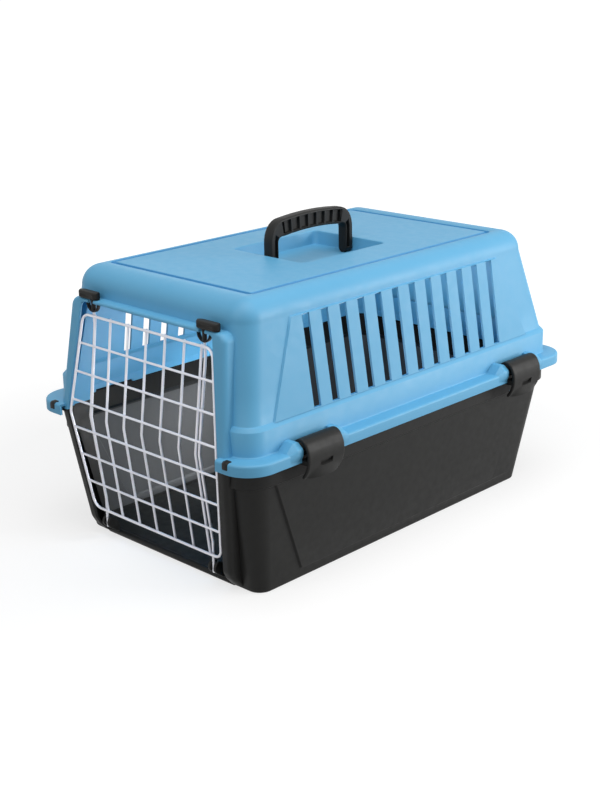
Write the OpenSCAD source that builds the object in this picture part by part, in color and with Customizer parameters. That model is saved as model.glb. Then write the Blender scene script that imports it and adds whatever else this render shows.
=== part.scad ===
// Pet transport carrier: black lower tray, blue lift-off cover, white wire door,
// two lift latches, four side clips and a fold-down carrying handle.
// Millimetres, +Z up, door at -Y, origin at the middle of the underside.

/* [Tray] */
// Width of the flat underside
base_w = 256; // [245:1:258]
// Distance of the underside's front end from the middle
base_front = 201; // [196:1:203]
// Distance of the underside's rear end from the middle
base_rear = 206; // [198:1:208]
// Corner radius of the underside, seen from above
base_r = 15; // [15:1:18]
// Rounding where the underside turns up into the walls
base_edge = 2.5; // [1.5:0.25:4]
// Thickness of the moulded walls
wall_t = 2.5; // [2:0.1:3]
// Thickness of the floor
floor_t = 4; // [3:0.5:6]
// Height of the step below the rim band
rim_z = 111; // [104:1:116]
// How much each long wall leans out up to the rim step
side_flare = 11; // [8:1:12]
// How much the door end leans out up to the rim step
front_flare = 19; // [16:1:20]
// How much the closed end leans out up to the rim step
rear_flare = 31; // [26:1:33]
// How far the rim band stands out from the walls
rim_out = 5; // [4:0.5:6]
// Height of the slope below the rim band
rim_slope = 3; // [1:0.25:5]
// Plan corner radius of the rim band
rim_r = 30; // [26:1:34]
// How far the tray's flat lip reaches out from the rim band
lip_out = 8.5; // [7:0.5:9]
// How far that lip reaches out at the closed end
lip_rear_out = 5; // [4:0.5:5.5]
// Thickness of the tray's flat lip
lip_t = 3; // [2.5:0.1:3.5]
// How far the raised panels stand proud of the walls
panel_proud = 2; // [1:0.25:2.5]
// Height where the tray's side panels start
tray_panel_z = 11; // [8:1:16]
// Front and rear ends of a tray panel along its lower edge
tray_panel_low = [-147, 153];
// Front and rear ends of a tray panel along its upper edge
tray_panel_high = [-188, 190];

/* [Front surround] */
// Height of the joint between tray and cover
parting_z = 138.5; // [132:0.5:144]
// Distance of the surround's face from the middle at the joint
face_out = 232.4; // [229:0.2:235]
// Distance of the surround's face from the middle at the floor
face_low = 203.5; // [202.5:0.5:204.5]
// Distance of the surround's chin, where its foot turns back, from the middle
chin_out = 216.5; // [214:0.5:218]
// Height of that chin
chin_z = 17; // [14:1:20]
// Distance of the surround's face from the middle at the ledge
face_high = 218; // [216:0.5:220]
// Half width of the surround at the joint
surround_w = 121; // [118:0.5:124]
// Half width of the surround at the chin
surround_low_w = 106; // [104:0.5:108]
// Half width of the surround at the ledge
surround_top_w = 112; // [109:0.5:114]
// Rounding of the surround's outer edges
surround_r = 3; // [2:0.25:3.5]
// Rounding of the surround's upper corners, seen from the front
surround_turn = 10; // [7:0.5:12]
// Half width of the doorway at the joint
door_w_mid = 110; // [109:0.5:112]
// Half width of the doorway at the ledge
door_w_top = 94; // [93:0.5:96]
// Half width of the doorway at the floor
door_w_low = 93; // [92.5:0.5:95]
// Radius of the rounded sill bar
sill_r = 3.3; // [3:0.1:3.5]
// Half length of the sill bar
sill_half = 96; // [95:1:98]
// Height of the forked rod sockets on the sill
fork_z = 27; // [22:1:30]
// Thickness of each fork plate
fork_t = 3; // [2:0.25:4]

/* [Cover] */
// Height of the crease at the top of the skirt
crease_z = 171; // [166:1:176]
// How far the skirt stands back from the rim band's outline
skirt_in = 2; // [1:0.25:3]
// Rounding of the skirt's top edge
skirt_soft = 3; // [1.5:0.25:4]
// How far the walls stand back from the skirt
crease_in = 4.5; // [3.5:0.25:6]
// Height where the roof shoulder starts
shoulder_z = 259.5; // [256:0.5:262]
// Radius of the roof shoulder
shoulder_r = 21; // [17:0.5:21.5]
// Plan corner radius of the walls at the shoulder
shoulder_corner = 22; // [22:0.5:26]
// How much each long wall leans in up to the shoulder
cover_side_lean = 14.5; // [11:0.5:17]
// How much the door end leans in up to the shoulder
cover_front_lean = 13; // [10:0.5:15]
// How much the closed end leans in up to the shoulder
cover_rear_lean = 20.5; // [15:0.5:22]
// Width of the flange around the joint, outside the rim band
flange_out = 13.5; // [13:0.25:14.5]
// Width of the flange at the closed end, outside the rim band
flange_rear_out = 10; // [9.5:0.25:12]
// Height of the flange above the joint
flange_up = 5.5; // [4:0.25:7]
// Drop of the flange's edge below the joint
flange_down = 5.5; // [4:0.25:6.5]
// Thickness of the flange's turned-down edge
flange_edge = 3.5; // [3:0.1:3.8]
// Height of the flat ledge over the door
ledge_z = 253.3; // [251:0.1:256]
// Thickness of the ledge
ledge_t = 3.5; // [3:0.1:4]
// Front and rear ends of a cover panel along its lower edge
cover_panel_low = [-187, 195];
// Front and rear ends of a cover panel along its upper edge
cover_panel_high = [-149, 157];
// Number of vent slots in each long side
slot_count = 12; // [8:1:12]
// Spacing of the vent slots
slot_pitch = 25; // [22:0.5:26]
// Width of a vent slot
slot_w = 9.5; // [7:0.25:11]
// Middle of the row of vent slots
slot_mid = 6; // [0:1:10]
// Half width of the roof groove
groove_half = 101; // [96:0.5:101.5]
// Front and rear runs of the roof groove
groove_ends = [-176, 180];
// Width of the roof groove
groove_w = 3; // [2:0.25:4]
// Depth of the roof groove
groove_deep = 1.2; // [0.6:0.1:1.6]
// Height of the roof panel inside the groove above the roof's border
crown = 0.7; // [0.4:0.1:1.6]

/* [Handle] */
// Half width of the roof recess
recess_half = 50; // [48:0.5:54]
// Gap between each leg and the recess's end wall
recess_gap = 2.5; // [1.5:0.25:4]
// Depth of the roof recess below the roof panel
recess_deep = 15.2; // [14.5:0.1:17]
// Length of the handle over its legs
handle_len = 117; // [110:1:124]
// Middle of the handle along the roof
handle_mid = 5; // [0:1:8]
// Thickness of the handle
handle_t = 11; // [10:0.25:11.5]
// Size of a leg along the roof
leg_w = 10; // [8:0.5:12]
// Height of the handle's top above its pivot
handle_rise = 42.5; // [40:0.5:45]
// Depth of the grip
grip_h = 16; // [14:0.5:18]
// Outer corner radius of the handle
handle_r = 16; // [12:0.5:18]
// Height of the pivot above the recess's floor
pivot_up = 6.2; // [5.9:0.1:7]
// Radius of the handle's pivot pegs
peg_r = 3; // [2.5:0.1:3.5]
// Clearance of a turning peg in its hole
run_fit = 0.06; // [0.03:0.01:0.1]
// Number of grip pockets on each face
pocket_count = 7; // [5:1:7]
// Spacing of the grip pockets
pocket_pitch = 12; // [11:0.25:12.5]
// Width of a grip pocket
pocket_w = 8.5; // [7:0.25:9]
// Height of a grip pocket
pocket_h = 10.5; // [8:0.5:11.5]
// Depth of a grip pocket
pocket_deep = 3.5; // [2:0.25:4]

/* [Door] */
// Height of the door's top wire
door_top_z = 237.5; // [235:0.5:239]
// Height of the bend across the door
door_bend_z = 137; // [133:0.5:141]
// Height of the door's bottom wire
door_low_z = 34; // [32:0.5:38]
// Distance of the top wire from the middle
door_top_y = 217.5; // [217.3:0.1:217.6]
// Distance of the bend from the middle
door_bend_y = 230.4; // [229:0.1:231]
// Distance of the bottom wire from the middle
door_low_y = 217.5; // [217.3:0.1:217.6]
// Gap from the doorway's sides to the middle of the frame wire
frame_gap = 2.4; // [2.2:0.1:3.5]
// Corner radius of the door frame
frame_corner = 9; // [6:0.5:12]
// Radius of the frame wire
frame_wire = 1.35; // [1.25:0.05:1.4]
// Radius of the thinner wires
thin_wire = 1.2; // [1.15:0.05:1.25]
// Depth to which crossing wires are welded into each other
weld = 0.2; // [0.1:0.05:0.4]
// Distance of the upright wires from the middle at the top
upright_top_y = 215.2; // [215.1:0.1:215.4]
// Distance of the upright wires from the middle at the bend
upright_bend_y = 228.2; // [228:0.1:228.4]
// Distance of the upright wires from the middle at the bottom
upright_low_y = 215.2; // [215.1:0.1:215.4]
// Spacing of the upright wires
upright_pitch = 26.7; // [25:0.1:27]
// Distance of each latch rod in from the doorway's upper corner
rod_in = 14; // [13:0.1:14.5]
// Gap between a latch rod and the upright beside it
rod_side_gap = 0.7; // [0.4:0.1:1]
// Radius of a latch rod
rod_r = 1.4; // [1.3:0.05:1.45]
// Distance of the rods' straight ends from the middle
rod_y = 214.3; // [213.6:0.1:214.3]
// Distance of the rods from the middle at the bend
rod_bend_y = 225.8; // [225:0.1:226]
// Height of a rod's lower end
rod_low_z = 14; // [13:0.5:18]

/* [Latches] */
// Length of a latch tab
tab_len = 28; // [24:0.5:30]
// Depth of a latch tab, front to back
tab_deep = 9; // [8:0.25:10]
// Height of a latch tab
tab_h = 7.5; // [6:0.25:9]
// How far the tab is set outwards from its rod
tab_shift = 5.5; // [3:0.5:7]
// Gap between a tab and the ledge it rests over
tab_gap = 0.2; // [0.1:0.05:0.4]
// Radius of the latch stem around the rod
stem_r = 3; // [2.7:0.1:3.2]
// Half width of the notch in the ledge
notch_half = 3.6; // [3.5:0.1:4.2]
// Middle radius of the curved spring arms
arm_r = 8; // [7:0.25:8.25]
// Thickness of the spring arms
arm_t = 2.2; // [1.6:0.1:2.6]
// Depth of the spring arms, front to back
arm_deep = 5; // [4:0.25:6]
// Gap between the spring arms' tips and the ledge
arm_gap = 0.4; // [0.3:0.05:0.8]

/* [Side clips] */
// Positions of the clips along the sides
clip_y = [-148, 163];
// Width of a clip
clip_w = 47; // [42:0.5:48]
// Side clearance of a clip between its lugs
clip_gap = 0.5; // [0.3:0.05:1]
// Distance of the clip pivot outside the rim band
clip_off = 8; // [7.5:0.1:8.2]
// Height of the clip pivot
clip_z = 148; // [147.6:0.1:148.6]
// Radius of the clip barrel
barrel_r = 6; // [5.5:0.1:6.2]
// Radius of the lugs on the flange
lug_r = 8.4; // [8:0.1:8.8]
// Distance of the lugs' round outside the rim band
lug_off = 7.6; // [6.8:0.1:8]
// Height of the middle of the lugs' round
lug_z = 143.8; // [143:0.1:144.5]
// Length of each lug
lug_len = 6.5; // [6:0.5:9]
// Length of the ramp behind each lug
ramp_len = 10; // [6:0.5:14]
// Radius of the clip's pivot pegs
clip_peg_r = 2.6; // [2.2:0.1:3]
// Length of the clip's pivot pegs
clip_peg_len = 5; // [4:0.5:5.5]
// Thickness of a clip's hook
hook_t = 4.5; // [3.5:0.25:5]
// Reach of a clip's curved face outside its pivot
clip_out = 14.3; // [13.8:0.1:14.6]
// Thickness of a clip's curved face
clip_t = 3.4; // [3:0.1:3.8]
// Bend radius of a clip's curved face
clip_bend = 30; // [28:0.5:34]
// Depth of a clip's foot below its pivot
clip_foot = 30.7; // [29:0.1:31.5]
// Height of the thumb rest on a clip's foot
rest_h = 10; // [9:0.5:11]
// How far the thumb rest stands out from the clip's face
rest_out = 2.3; // [1.5:0.1:3]
// Width of the window in the clip's face
window_w = 15; // [12:0.5:17]
// Height of the window in the clip's face
window_h = 3.6; // [2.5:0.25:4.5]
// Gap between a clip's hook and the tray's lip
hook_gap = 0.4; // [0.3:0.05:0.8]

/* [Hidden] */
$fn = 48;
eps = 0.02;
slab = 0.5;
wire_fn = 24;
knuckle = 0.05;
corner_steps = 2;

// Outlines, each as half width, front end, rear end
wall_half = base_w / 2 + side_flare;
wall_front = -base_front - front_flare;
wall_rear = base_rear + rear_flare;
wall_r = rim_r - rim_out;
rim_half = wall_half + rim_out;
rim_front = wall_front - rim_out;
rim_rear = wall_rear + rim_out;
skirt_half = rim_half - skirt_in;
skirt_front = rim_front + skirt_in;
skirt_rear = rim_rear - skirt_in;
skirt_r = rim_r - skirt_in;
crease_half = skirt_half - crease_in;
crease_front = skirt_front + crease_in;
crease_rear = skirt_rear - crease_in;
crease_r = skirt_r - crease_in;
top_half = crease_half - cover_side_lean;
top_front = crease_front + cover_front_lean;
top_rear = crease_rear - cover_rear_lean;
clip_x = rim_half + clip_off;
lug_x = rim_half + lug_off;
flange_half = rim_half + flange_out;
flange_front = rim_front - flange_out;
flange_rear = rim_rear + flange_rear_out;
flange_r = rim_r;
flange_top = parting_z + flange_up;
flange_low = parting_z - flange_down;
lip_low = parting_z - lip_t;

// Heights of the roof
roof_z = shoulder_z + shoulder_r;
panel_z = roof_z + crown;
recess_z = panel_z - recess_deep;
handle_z = recess_z + pivot_up;
ledge_low = ledge_z - ledge_t;

// Leg positions and the recess around the handle
leg_front = handle_mid - handle_len / 2;
leg_rear = handle_mid + handle_len / 2;
recess_front = leg_front - recess_gap;
recess_rear = leg_rear + recess_gap;
recess_r = 6;

// Slopes of the walls that carry raised panels
tray_lean = atan(side_flare / (rim_z - base_edge));
cover_lean = atan(cover_side_lean / (shoulder_z - crease_z));
tray_panel_x = base_w / 2 + (tray_panel_z - base_edge) * tan(tray_lean);
tray_panel_rise = (rim_z - tray_panel_z) / cos(tray_lean);
cover_panel_rise = (shoulder_z - crease_z) / cos(cover_lean);

// Door wires
frame_w_top = doorway_half(door_top_z) - frame_gap;
frame_w_mid = doorway_half(door_bend_z) - frame_gap;
frame_w_low = doorway_half(door_low_z) - frame_gap;
rod_x = door_w_top - rod_in;
cross_count = 6;
cross_pitch = (door_top_z - door_low_z) / (cross_count + 1);
cross_fore = 2 * thin_wire - weld;
upright_edge = rod_x - rod_r - thin_wire - rod_side_gap;
upright_x = [-upright_edge, -2 * upright_pitch, -upright_pitch, 0, upright_pitch, 2 * upright_pitch,
    upright_edge];
rod_bend_run = 12;
// Drop of a rod's upper bend below its stem, which keeps a lifted rod behind the door's frame
rod_bend_drop = 12;

// Latch heights
tab_z = ledge_z + tab_gap;
rod_in_tab = 4;
rod_top_z = tab_z + rod_in_tab;
tab_soft = 2;
tab_line = 0.8;
tab_line_edge = 1.6;
collar_t = 1.6;
rod_gap = 0.2;
arm_z = ledge_low - arm_gap;
stem_low = arm_z - arm_r - arm_t / 2;

// Sill bar and the forks on it
sill_up = 0.4;
sill_in = 2;
fork_play = 1.6;
fork_reach = 5.5;
fork_clear = 0.9;
fork_cut = 8;
fork_foot = 5;

// Ear pegs that show in the flange's front corners
ear_in = 17.4;
ear_x = rim_half - ear_in;
ear_w = 7;
ear_up = 3;
ear_gap = 1;
ear_back = 7;
ear_deep = 4.5;

// Round shoulder of a clip between its barrel and its face
clip_mid = -11.5;
clip_turn = 9.3;
clip_drop = 2.6;
clip_room = 0.6;
peg_room = 0.5;
clip_open = 30;

// Depths used for cuts that run right through
through = 60;
front_back = -190;

black = [0.17, 0.17, 0.165];
blue = [0.42, 0.66, 0.82];
white = [0.9, 0.9, 0.93];

// Value at a height between the door's top, bend and bottom
function bent(z, top, bend, low) = z > door_bend_z ?
    bend + (top - bend) * (z - door_bend_z) / (door_top_z - door_bend_z) :
    bend + (low - bend) * (door_bend_z - z) / (door_bend_z - door_low_z);

// Position of the frame wire, front to back, at a height
function door_y(z) = -bent(z, door_top_y, door_bend_y, door_low_y);

// Position of the upright wires, front to back, at a height
function upright_y(z) = -bent(z, upright_top_y, upright_bend_y, upright_low_y);

// Half width of the doorway at a height
function doorway_half(z) = z > parting_z ?
    door_w_mid + (door_w_top - door_w_mid) * (z - parting_z) / (ledge_low - parting_z) :
    door_w_low + (door_w_mid - door_w_low) * (z - floor_t) / (parting_z - floor_t);

// Half width of the door frame at a height
function frame_half(z) = bent(z, frame_w_top, frame_w_mid, frame_w_low);

// Height of a cross wire counted from the top
function cross_z(i) = door_top_z - i * cross_pitch;

// Rounded rectangle from its half width, its two ends and its corner radius
module outline(half, front, rear, r) {
    translate([-half + r, front])
        square([2 * (half - r), rear - front]);
    translate([-half, front + r])
        square([2 * half, rear - front - 2 * r]);
    for (x = [-half + r, half - r])
        for (y = [front + r, rear - r])
            translate([x, y])
                circle(r);
}

// Flat plate with rounded corners between two heights
module plate(half, front, rear, r, z0, z1) {
    translate([0, 0, z0])
        linear_extrude(z1 - z0)
            outline(half, front, rear, r);
}

// Thin corner discs of a rounded rectangle, used as one slice of a loft
module slice(half, front, rear, r, z) {
    for (x = [-half + r, half - r])
        for (y = [front + r, rear - r])
            translate([x, y, z])
                cylinder(r = r, h = eps, $fn = 36);
}

// Profile drawn in Y and Z, drawn out to both sides of the middle
module across(half) {
    translate([-half, 0, 0])
        rotate([90, 0, 90])
            linear_extrude(2 * half)
                children();
}

// Profile drawn in X and Z, drawn out from one Y to another
module along(y0, y1) {
    translate([0, y1, 0])
        rotate([90, 0, 0])
            linear_extrude(y1 - y0)
                children();
}

// Same solid on both long sides
module both_sides() {
    children();
    mirror([1, 0, 0])
        children();
}

// Round bar between two points
module bar(a, b, r) {
    d = b - a;
    h = norm(d);
    translate(a)
        rotate([0, acos(d[2] / h), atan2(d[1], d[0])])
            cylinder(r = r, h = h, $fn = wire_fn);
}

// Wire that runs through a list of points, with a rounded knuckle at each bend
module wire(points, r) {
    for (i = [0 : len(points) - 2])
        bar(points[i + 1], points[i], r);
    for (i = [1 : len(points) - 2])
        translate(points[i])
            sphere(r + knuckle, $fn = wire_fn);
}

// Panel that lies on a leaning long wall, from its trapezium and its thickness
module wall_panel(x, z, lean, low, high, rise, depth) {
    translate([x, 0, z])
        rotate([0, lean, 0])
            rotate([90, 0, 90])
                linear_extrude(depth)
                    polygon([[low[0], 0], [low[1], 0], [high[1], rise], [high[0], rise]]);
}

// Loft of the tray's walls, taken in by one wall thickness for the inside
module tray_body(inset, z0) {
    hull() {
        slice(base_w / 2 - base_edge - inset, -base_front + base_edge + inset,
            base_rear - base_edge - inset, base_r - base_edge, z0);
        slice(base_w / 2 - inset, -base_front + inset, base_rear - inset,
            base_r - inset, z0 + base_edge);
        slice(wall_half - inset, wall_front + inset, wall_rear - inset, wall_r - inset, rim_z + inset);
    }
}

// Wedge that carries the doorway through the tray's front wall
module tray_surround(inset, z0, z1) {
    r = surround_r - inset / 2;
    half = surround_w - inset;
    low = surround_low_w - inset;
    hull() {
        for (side = [-1, 1]) {
            translate([side * (half - r), -face_out + inset + r, z1])
                cylinder(r = r, h = eps, $fn = 32);
            translate([side * (low - r), -chin_out + inset + r, chin_z])
                cylinder(r = r, h = eps, $fn = 32);
            translate([side * (low - r), -face_low + inset + r, z0])
                cylinder(r = r, h = eps, $fn = 32);
        }
        translate([-half, front_back - eps, z1 - eps])
            cube([2 * half, eps, eps]);
        translate([-low, front_back - eps, z0])
            cube([2 * low, eps, chin_z - z0]);
    }
}

// Opening of the doorway below the joint
module tray_doorway() {
    along(-face_out - through, front_back)
        polygon([[-door_w_low, floor_t], [door_w_low, floor_t], [door_w_mid, parting_z + 1],
            [-door_w_mid, parting_z + 1]]);
}

// Two plates on the sill that hold a rod's lower end between them, open to the front
module rod_fork() {
    gap = 2 * rod_r + fork_play;
    front = -rod_y - fork_reach;
    back = -rod_y + rod_r + fork_clear;
    foot = floor_t - sill_in;
    for (x = [rod_x - gap / 2 - fork_t, rod_x + gap / 2])
        translate([x, 0, 0])
            rotate([90, 0, 90])
                linear_extrude(fork_t)
                    polygon([[fork_foot - face_low, foot], [-face_low, foot], [front, foot + fork_cut],
                        [front, fork_z - fork_cut], [back, fork_z], [back + wall_t, fork_z]]);
    translate([rod_x - gap / 2 - fork_t, back, foot])
        cube([gap + 2 * fork_t, wall_t, fork_z - fork_cut - foot]);
}

// Black lower tray
module bottom_tray() {
    color(black)
    difference() {
        union() {
            tray_body(0, 0);
            hull() {
                slice(wall_half, wall_front, wall_rear, wall_r, rim_z - eps);
                slice(rim_half, rim_front, rim_rear, rim_r, rim_z + rim_slope);
            }
            plate(rim_half, rim_front, rim_rear, rim_r, rim_z + rim_slope, parting_z);
            plate(rim_half + lip_out, rim_front - lip_out, rim_rear + lip_rear_out, rim_r, lip_low,
                parting_z);
            tray_surround(0, floor_t - 1, parting_z - eps);
            both_sides()
                wall_panel(tray_panel_x, tray_panel_z, tray_lean, tray_panel_low, tray_panel_high,
                    tray_panel_rise, panel_proud);
        }
        tray_body(wall_t, floor_t);
        plate(rim_half - wall_t, rim_front + wall_t, rim_rear - wall_t, rim_r - wall_t,
            rim_z + wall_t, parting_z + 1);
        tray_surround(wall_t, floor_t, parting_z + 1);
        tray_doorway();
        both_sides()
            wall_panel(tray_panel_x - 2 * wall_t, tray_panel_z, tray_lean, tray_panel_low,
                tray_panel_high, tray_panel_rise, wall_t + panel_proud);
    }
    color(black) {
        sill();
        both_sides() {
            ear_peg();
            rod_fork();
        }
    }
}

// Rounded bar along the front of the floor
module sill() {
    translate([-sill_half, -face_low + sill_r, sill_r + sill_up])
        rotate([0, 90, 0])
            cylinder(r = sill_r, h = 2 * sill_half);
}

// Upright peg that shows in a notch of the flange's front corner
module ear_peg() {
    translate([ear_x - ear_w / 2, flange_front + ear_back, lip_low])
        cube([ear_w, ear_deep, flange_top + ear_up - lip_low]);
}

// Loft of the cover's walls and roof shoulder, taken in by one wall thickness for the inside
module cover_body(inset) {
    hull() {
        slice(crease_half - inset, crease_front + inset, crease_rear - inset, crease_r - inset,
            crease_z - 2 - inset);
        for (a = [0 : 18 : 90]) {
            drop = (shoulder_r - inset) * (1 - cos(a));
            slice(top_half - inset - drop, top_front + inset + drop, top_rear - inset - drop,
                shoulder_corner - inset - drop, shoulder_z + (shoulder_r - inset) * sin(a) - eps);
        }
    }
}

// Skirt block with its rounded top edge
module skirt_block() {
    plate(skirt_half, skirt_front, skirt_rear, skirt_r, parting_z, crease_z - skirt_soft);
    hull()
        for (k = [[0, 1], [0.3, 0.3], [1, 0]]) {
            in = k[0] * skirt_soft;
            slice(skirt_half - in, skirt_front + in, skirt_rear - in, skirt_r - in,
                crease_z - k[1] * skirt_soft - eps);
        }
}

// One slice of the cover's surround, taken in at its edges: two rounded upper corners and a foot
module surround_slice(inset, top, low, edge, y_high, y_low) {
    turn = surround_turn - inset;
    half_top = surround_top_w - inset - turn;
    half_low = surround_w - inset - edge;
    for (x = [-half_top, half_top])
        translate([x, y_high, top - turn])
            rotate([-90, 0, 0])
                cylinder(r = turn - edge, h = slab, $fn = 32);
    translate([-half_low, y_low, low])
        cube([2 * half_low, slab, slab]);
}

// Surround of the doorway above the joint, with the flat ledge on top
module cover_surround() {
    hull() {
        for (k = [[1, 0], [0.3, 0.3], [0, 1]])
            surround_slice(0, ledge_z, parting_z, k[0] * surround_r, -face_high + k[1] * surround_r,
                -face_out + k[1] * surround_r);
        surround_slice(0, ledge_z, parting_z, slab, front_back - slab, front_back - slab);
    }
}

// Hollow behind that surround, open to the cabin
module cover_surround_hollow() {
    hull() {
        surround_slice(wall_t, ledge_low, parting_z - 1, 0, -face_high + wall_t, -face_out + wall_t);
        surround_slice(wall_t, ledge_low, parting_z - 1, 0, front_back, front_back);
    }
}

// Opening of the doorway above the joint
module cover_doorway() {
    along(-face_out - through, front_back)
        polygon([[-door_w_mid, parting_z - through], [door_w_mid, parting_z - through],
            [door_w_mid, parting_z], [door_w_top, ledge_low], [-door_w_top, ledge_low],
            [-door_w_mid, parting_z]]);
}

// Notch in the ledge for a latch stem, open to the front
module ledge_notch() {
    translate([rod_x, -rod_y, ledge_low - 1])
        cylinder(r = notch_half, h = ledge_t + 2);
    translate([rod_x - notch_half, -rod_y - through, ledge_low - 1])
        cube([2 * notch_half, through, ledge_t + 2]);
}

// Notch in the flange's front corner for the tray's peg
module ear_notch() {
    translate([ear_x - ear_w / 2 - ear_gap, flange_front + ear_back - ear_gap, parting_z - 1])
        cube([ear_w + 2 * ear_gap, ear_deep + 2 * ear_gap, flange_up + 2]);
}

// Row of vent slots through one long side
module vent_slots() {
    first = slot_mid - (slot_count - 1) * slot_pitch / 2;
    translate([crease_half, 0, crease_z])
        rotate([0, -cover_lean, 0])
            for (i = [0 : slot_count - 1])
                translate([-through / 4, first + i * slot_pitch - slot_w / 2, 0.6])
                    cube([through / 2, slot_w, cover_panel_rise - 1.2]);
}

// Pair of lugs and ramps beside one clip
module clip_lugs(y) {
    side = clip_w / 2 + clip_gap;
    inner = skirt_half - wall_t;
    top = lug_z + lug_r - parting_z;
    for (s = [-1, 1])
        translate([0, y, 0])
            mirror([0, s > 0 ? 0 : 1, 0])
                difference() {
                    union() {
                        translate([lug_x, side, lug_z])
                            rotate([-90, 0, 0])
                                cylinder(r = lug_r, h = lug_len + ramp_len);
                        translate([inner, side, parting_z])
                            cube([lug_x - inner, lug_len + ramp_len, top]);
                    }
                    translate([inner - 1, side, parting_z])
                        rotate([90, 0, 90])
                            linear_extrude(through)
                                polygon([[lug_len, top], [lug_len + ramp_len, flange_up],
                                    [lug_len + ramp_len + 1, flange_up], [lug_len + ramp_len + 1, top + 1],
                                    [lug_len, top + 1]]);
                    translate([inner, side - 1, flange_low - through])
                        cube([through, lug_len + ramp_len + 2, through]);
                    translate([inner - 1, side - 1, parting_z - through])
                        cube([flange_half - flange_edge - inner + 1, lug_len + ramp_len + 2, through]);
                    translate([0, side - 1, 0])
                        cube([inner + eps, lug_len + ramp_len + 2, panel_z]);
                }
}

// Gap in the flange where a clip turns, with the holes for its pegs
module clip_gap_cut(y) {
    side = clip_w / 2 + clip_gap;
    peg_end = side + clip_peg_len + peg_room;
    translate([clip_x - barrel_r - clip_room, y - side, flange_low - 1])
        cube([through, 2 * side, flange_up + flange_down + clip_open]);
    translate([clip_x, y - peg_end, clip_z])
        rotate([-90, 0, 0])
            cylinder(r = clip_peg_r + run_fit, h = 2 * peg_end);
}

// Blue lift-off cover
module top_cover() {
    color(blue)
    difference() {
        union() {
            difference() {
                union() {
                    cover_body(0);
                    skirt_block();
                    cover_surround();
                    plate(groove_half, groove_ends[0], groove_ends[1], recess_r, roof_z - 1, panel_z);
                    both_sides()
                        wall_panel(crease_half, crease_z, -cover_lean, cover_panel_low, cover_panel_high,
                            cover_panel_rise, panel_proud);
                }
                cover_body(wall_t);
                plate(skirt_half - wall_t, skirt_front + wall_t, skirt_rear - wall_t, skirt_r - wall_t,
                    parting_z - 1, crease_z - wall_t);
                cover_surround_hollow();
            }
            flange();
            both_sides()
                for (y = clip_y)
                    clip_lugs(y);
            plate(recess_half + wall_t, recess_front - wall_t, recess_rear + wall_t, recess_r + wall_t,
                recess_z - wall_t, roof_z - 1);
        }
        cover_doorway();
        both_sides() {
            ledge_notch();
            ear_notch();
            vent_slots();
            for (y = clip_y)
                clip_gap_cut(y);
        }
        groove();
        plate(recess_half, recess_front, recess_rear, recess_r, recess_z, panel_z + 1);
        translate([0, recess_front - wall_t - 1, handle_z])
            rotate([-90, 0, 0])
                cylinder(r = peg_r + run_fit, h = recess_rear - recess_front + 2 * wall_t + 2);
    }
}

// Flange around the joint with its turned-down edge
module flange() {
    difference() {
        plate(flange_half, flange_front, flange_rear, flange_r, flange_low, flange_top);
        plate(flange_half - flange_edge, flange_front + flange_edge, flange_rear - flange_edge,
            flange_r - flange_edge, flange_low - 1, parting_z);
        plate(skirt_half - wall_t, skirt_front + wall_t, skirt_rear - wall_t, skirt_r - wall_t,
            parting_z - 1, flange_top + 1);
        cover_surround_hollow();
    }
}

// Groove that frames the roof panel
module groove() {
    difference() {
        plate(groove_half + groove_w / 2, groove_ends[0] - groove_w / 2, groove_ends[1] + groove_w / 2,
            recess_r + groove_w / 2, roof_z - groove_deep, panel_z + 1);
        plate(groove_half - groove_w / 2, groove_ends[0] + groove_w / 2, groove_ends[1] - groove_w / 2,
            recess_r - groove_w / 2, roof_z - groove_deep - 1, panel_z + 2);
    }
}

// Side view of the handle: two legs and a grip with rounded corners
module handle_profile() {
    inner_r = 6;
    top = handle_z + handle_rise;
    difference() {
        union() {
            translate([leg_front, handle_z])
                square([handle_len, handle_rise - handle_r]);
            translate([leg_front + handle_r, handle_z])
                square([handle_len - 2 * handle_r, handle_rise]);
            for (y = [leg_front + handle_r, leg_rear - handle_r])
                translate([y, top - handle_r])
                    circle(handle_r);
        }
        translate([leg_front + leg_w, handle_z - 1])
            square([handle_len - 2 * leg_w, handle_rise - grip_h - inner_r + 1]);
        translate([leg_front + leg_w + inner_r, handle_z - 1])
            square([handle_len - 2 * (leg_w + inner_r), handle_rise - grip_h + 1]);
        for (y = [leg_front + leg_w + inner_r, leg_rear - leg_w - inner_r])
            translate([y, top - grip_h - inner_r])
                circle(inner_r);
    }
}

// Black fold-down carrying handle
module carry_handle() {
    first = handle_mid - (pocket_count - 1) * pocket_pitch / 2;
    grip_mid = handle_z + handle_rise - grip_h / 2;
    channel_w = leg_w / 2;
    channel_top = 4;
    channel_short = 18;
    color(black)
    difference() {
        union() {
            across(handle_t / 2)
                handle_profile();
            for (y = [leg_front, leg_rear - leg_w])
                translate([0, y, handle_z])
                    rotate([-90, 0, 0])
                        cylinder(r = handle_t / 2, h = leg_w);
            translate([0, recess_front - wall_t, handle_z])
                rotate([-90, 0, 0])
                    cylinder(r = peg_r, h = recess_gap + wall_t + 1);
            translate([0, leg_rear - 1, handle_z])
                rotate([-90, 0, 0])
                    cylinder(r = peg_r, h = recess_gap + wall_t + 1);
        }
        for (s = [-1, 1])
            translate([s * (handle_t / 2 - pocket_deep / 2), 0, 0]) {
                for (i = [0 : pocket_count - 1])
                    translate([0, first + i * pocket_pitch, grip_mid])
                        cube([pocket_deep + eps, pocket_w, pocket_h], center = true);
                for (y = [leg_front + leg_w / 2, leg_rear - leg_w / 2])
                    translate([0, y, handle_z + (handle_rise - channel_top) / 2])
                        cube([pocket_deep + eps, channel_w, handle_rise - channel_short], center = true);
            }
    }
}

// Points of one rounded frame corner, seen from the front
function corner_points(x, z, a0, a1) = [for (i = [0 : corner_steps])
    let (a = a0 + (a1 - a0) * i / corner_steps)
    let (pz = z + frame_corner * sin(a))
    [x + frame_corner * cos(a), door_y(pz), pz]];

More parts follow.
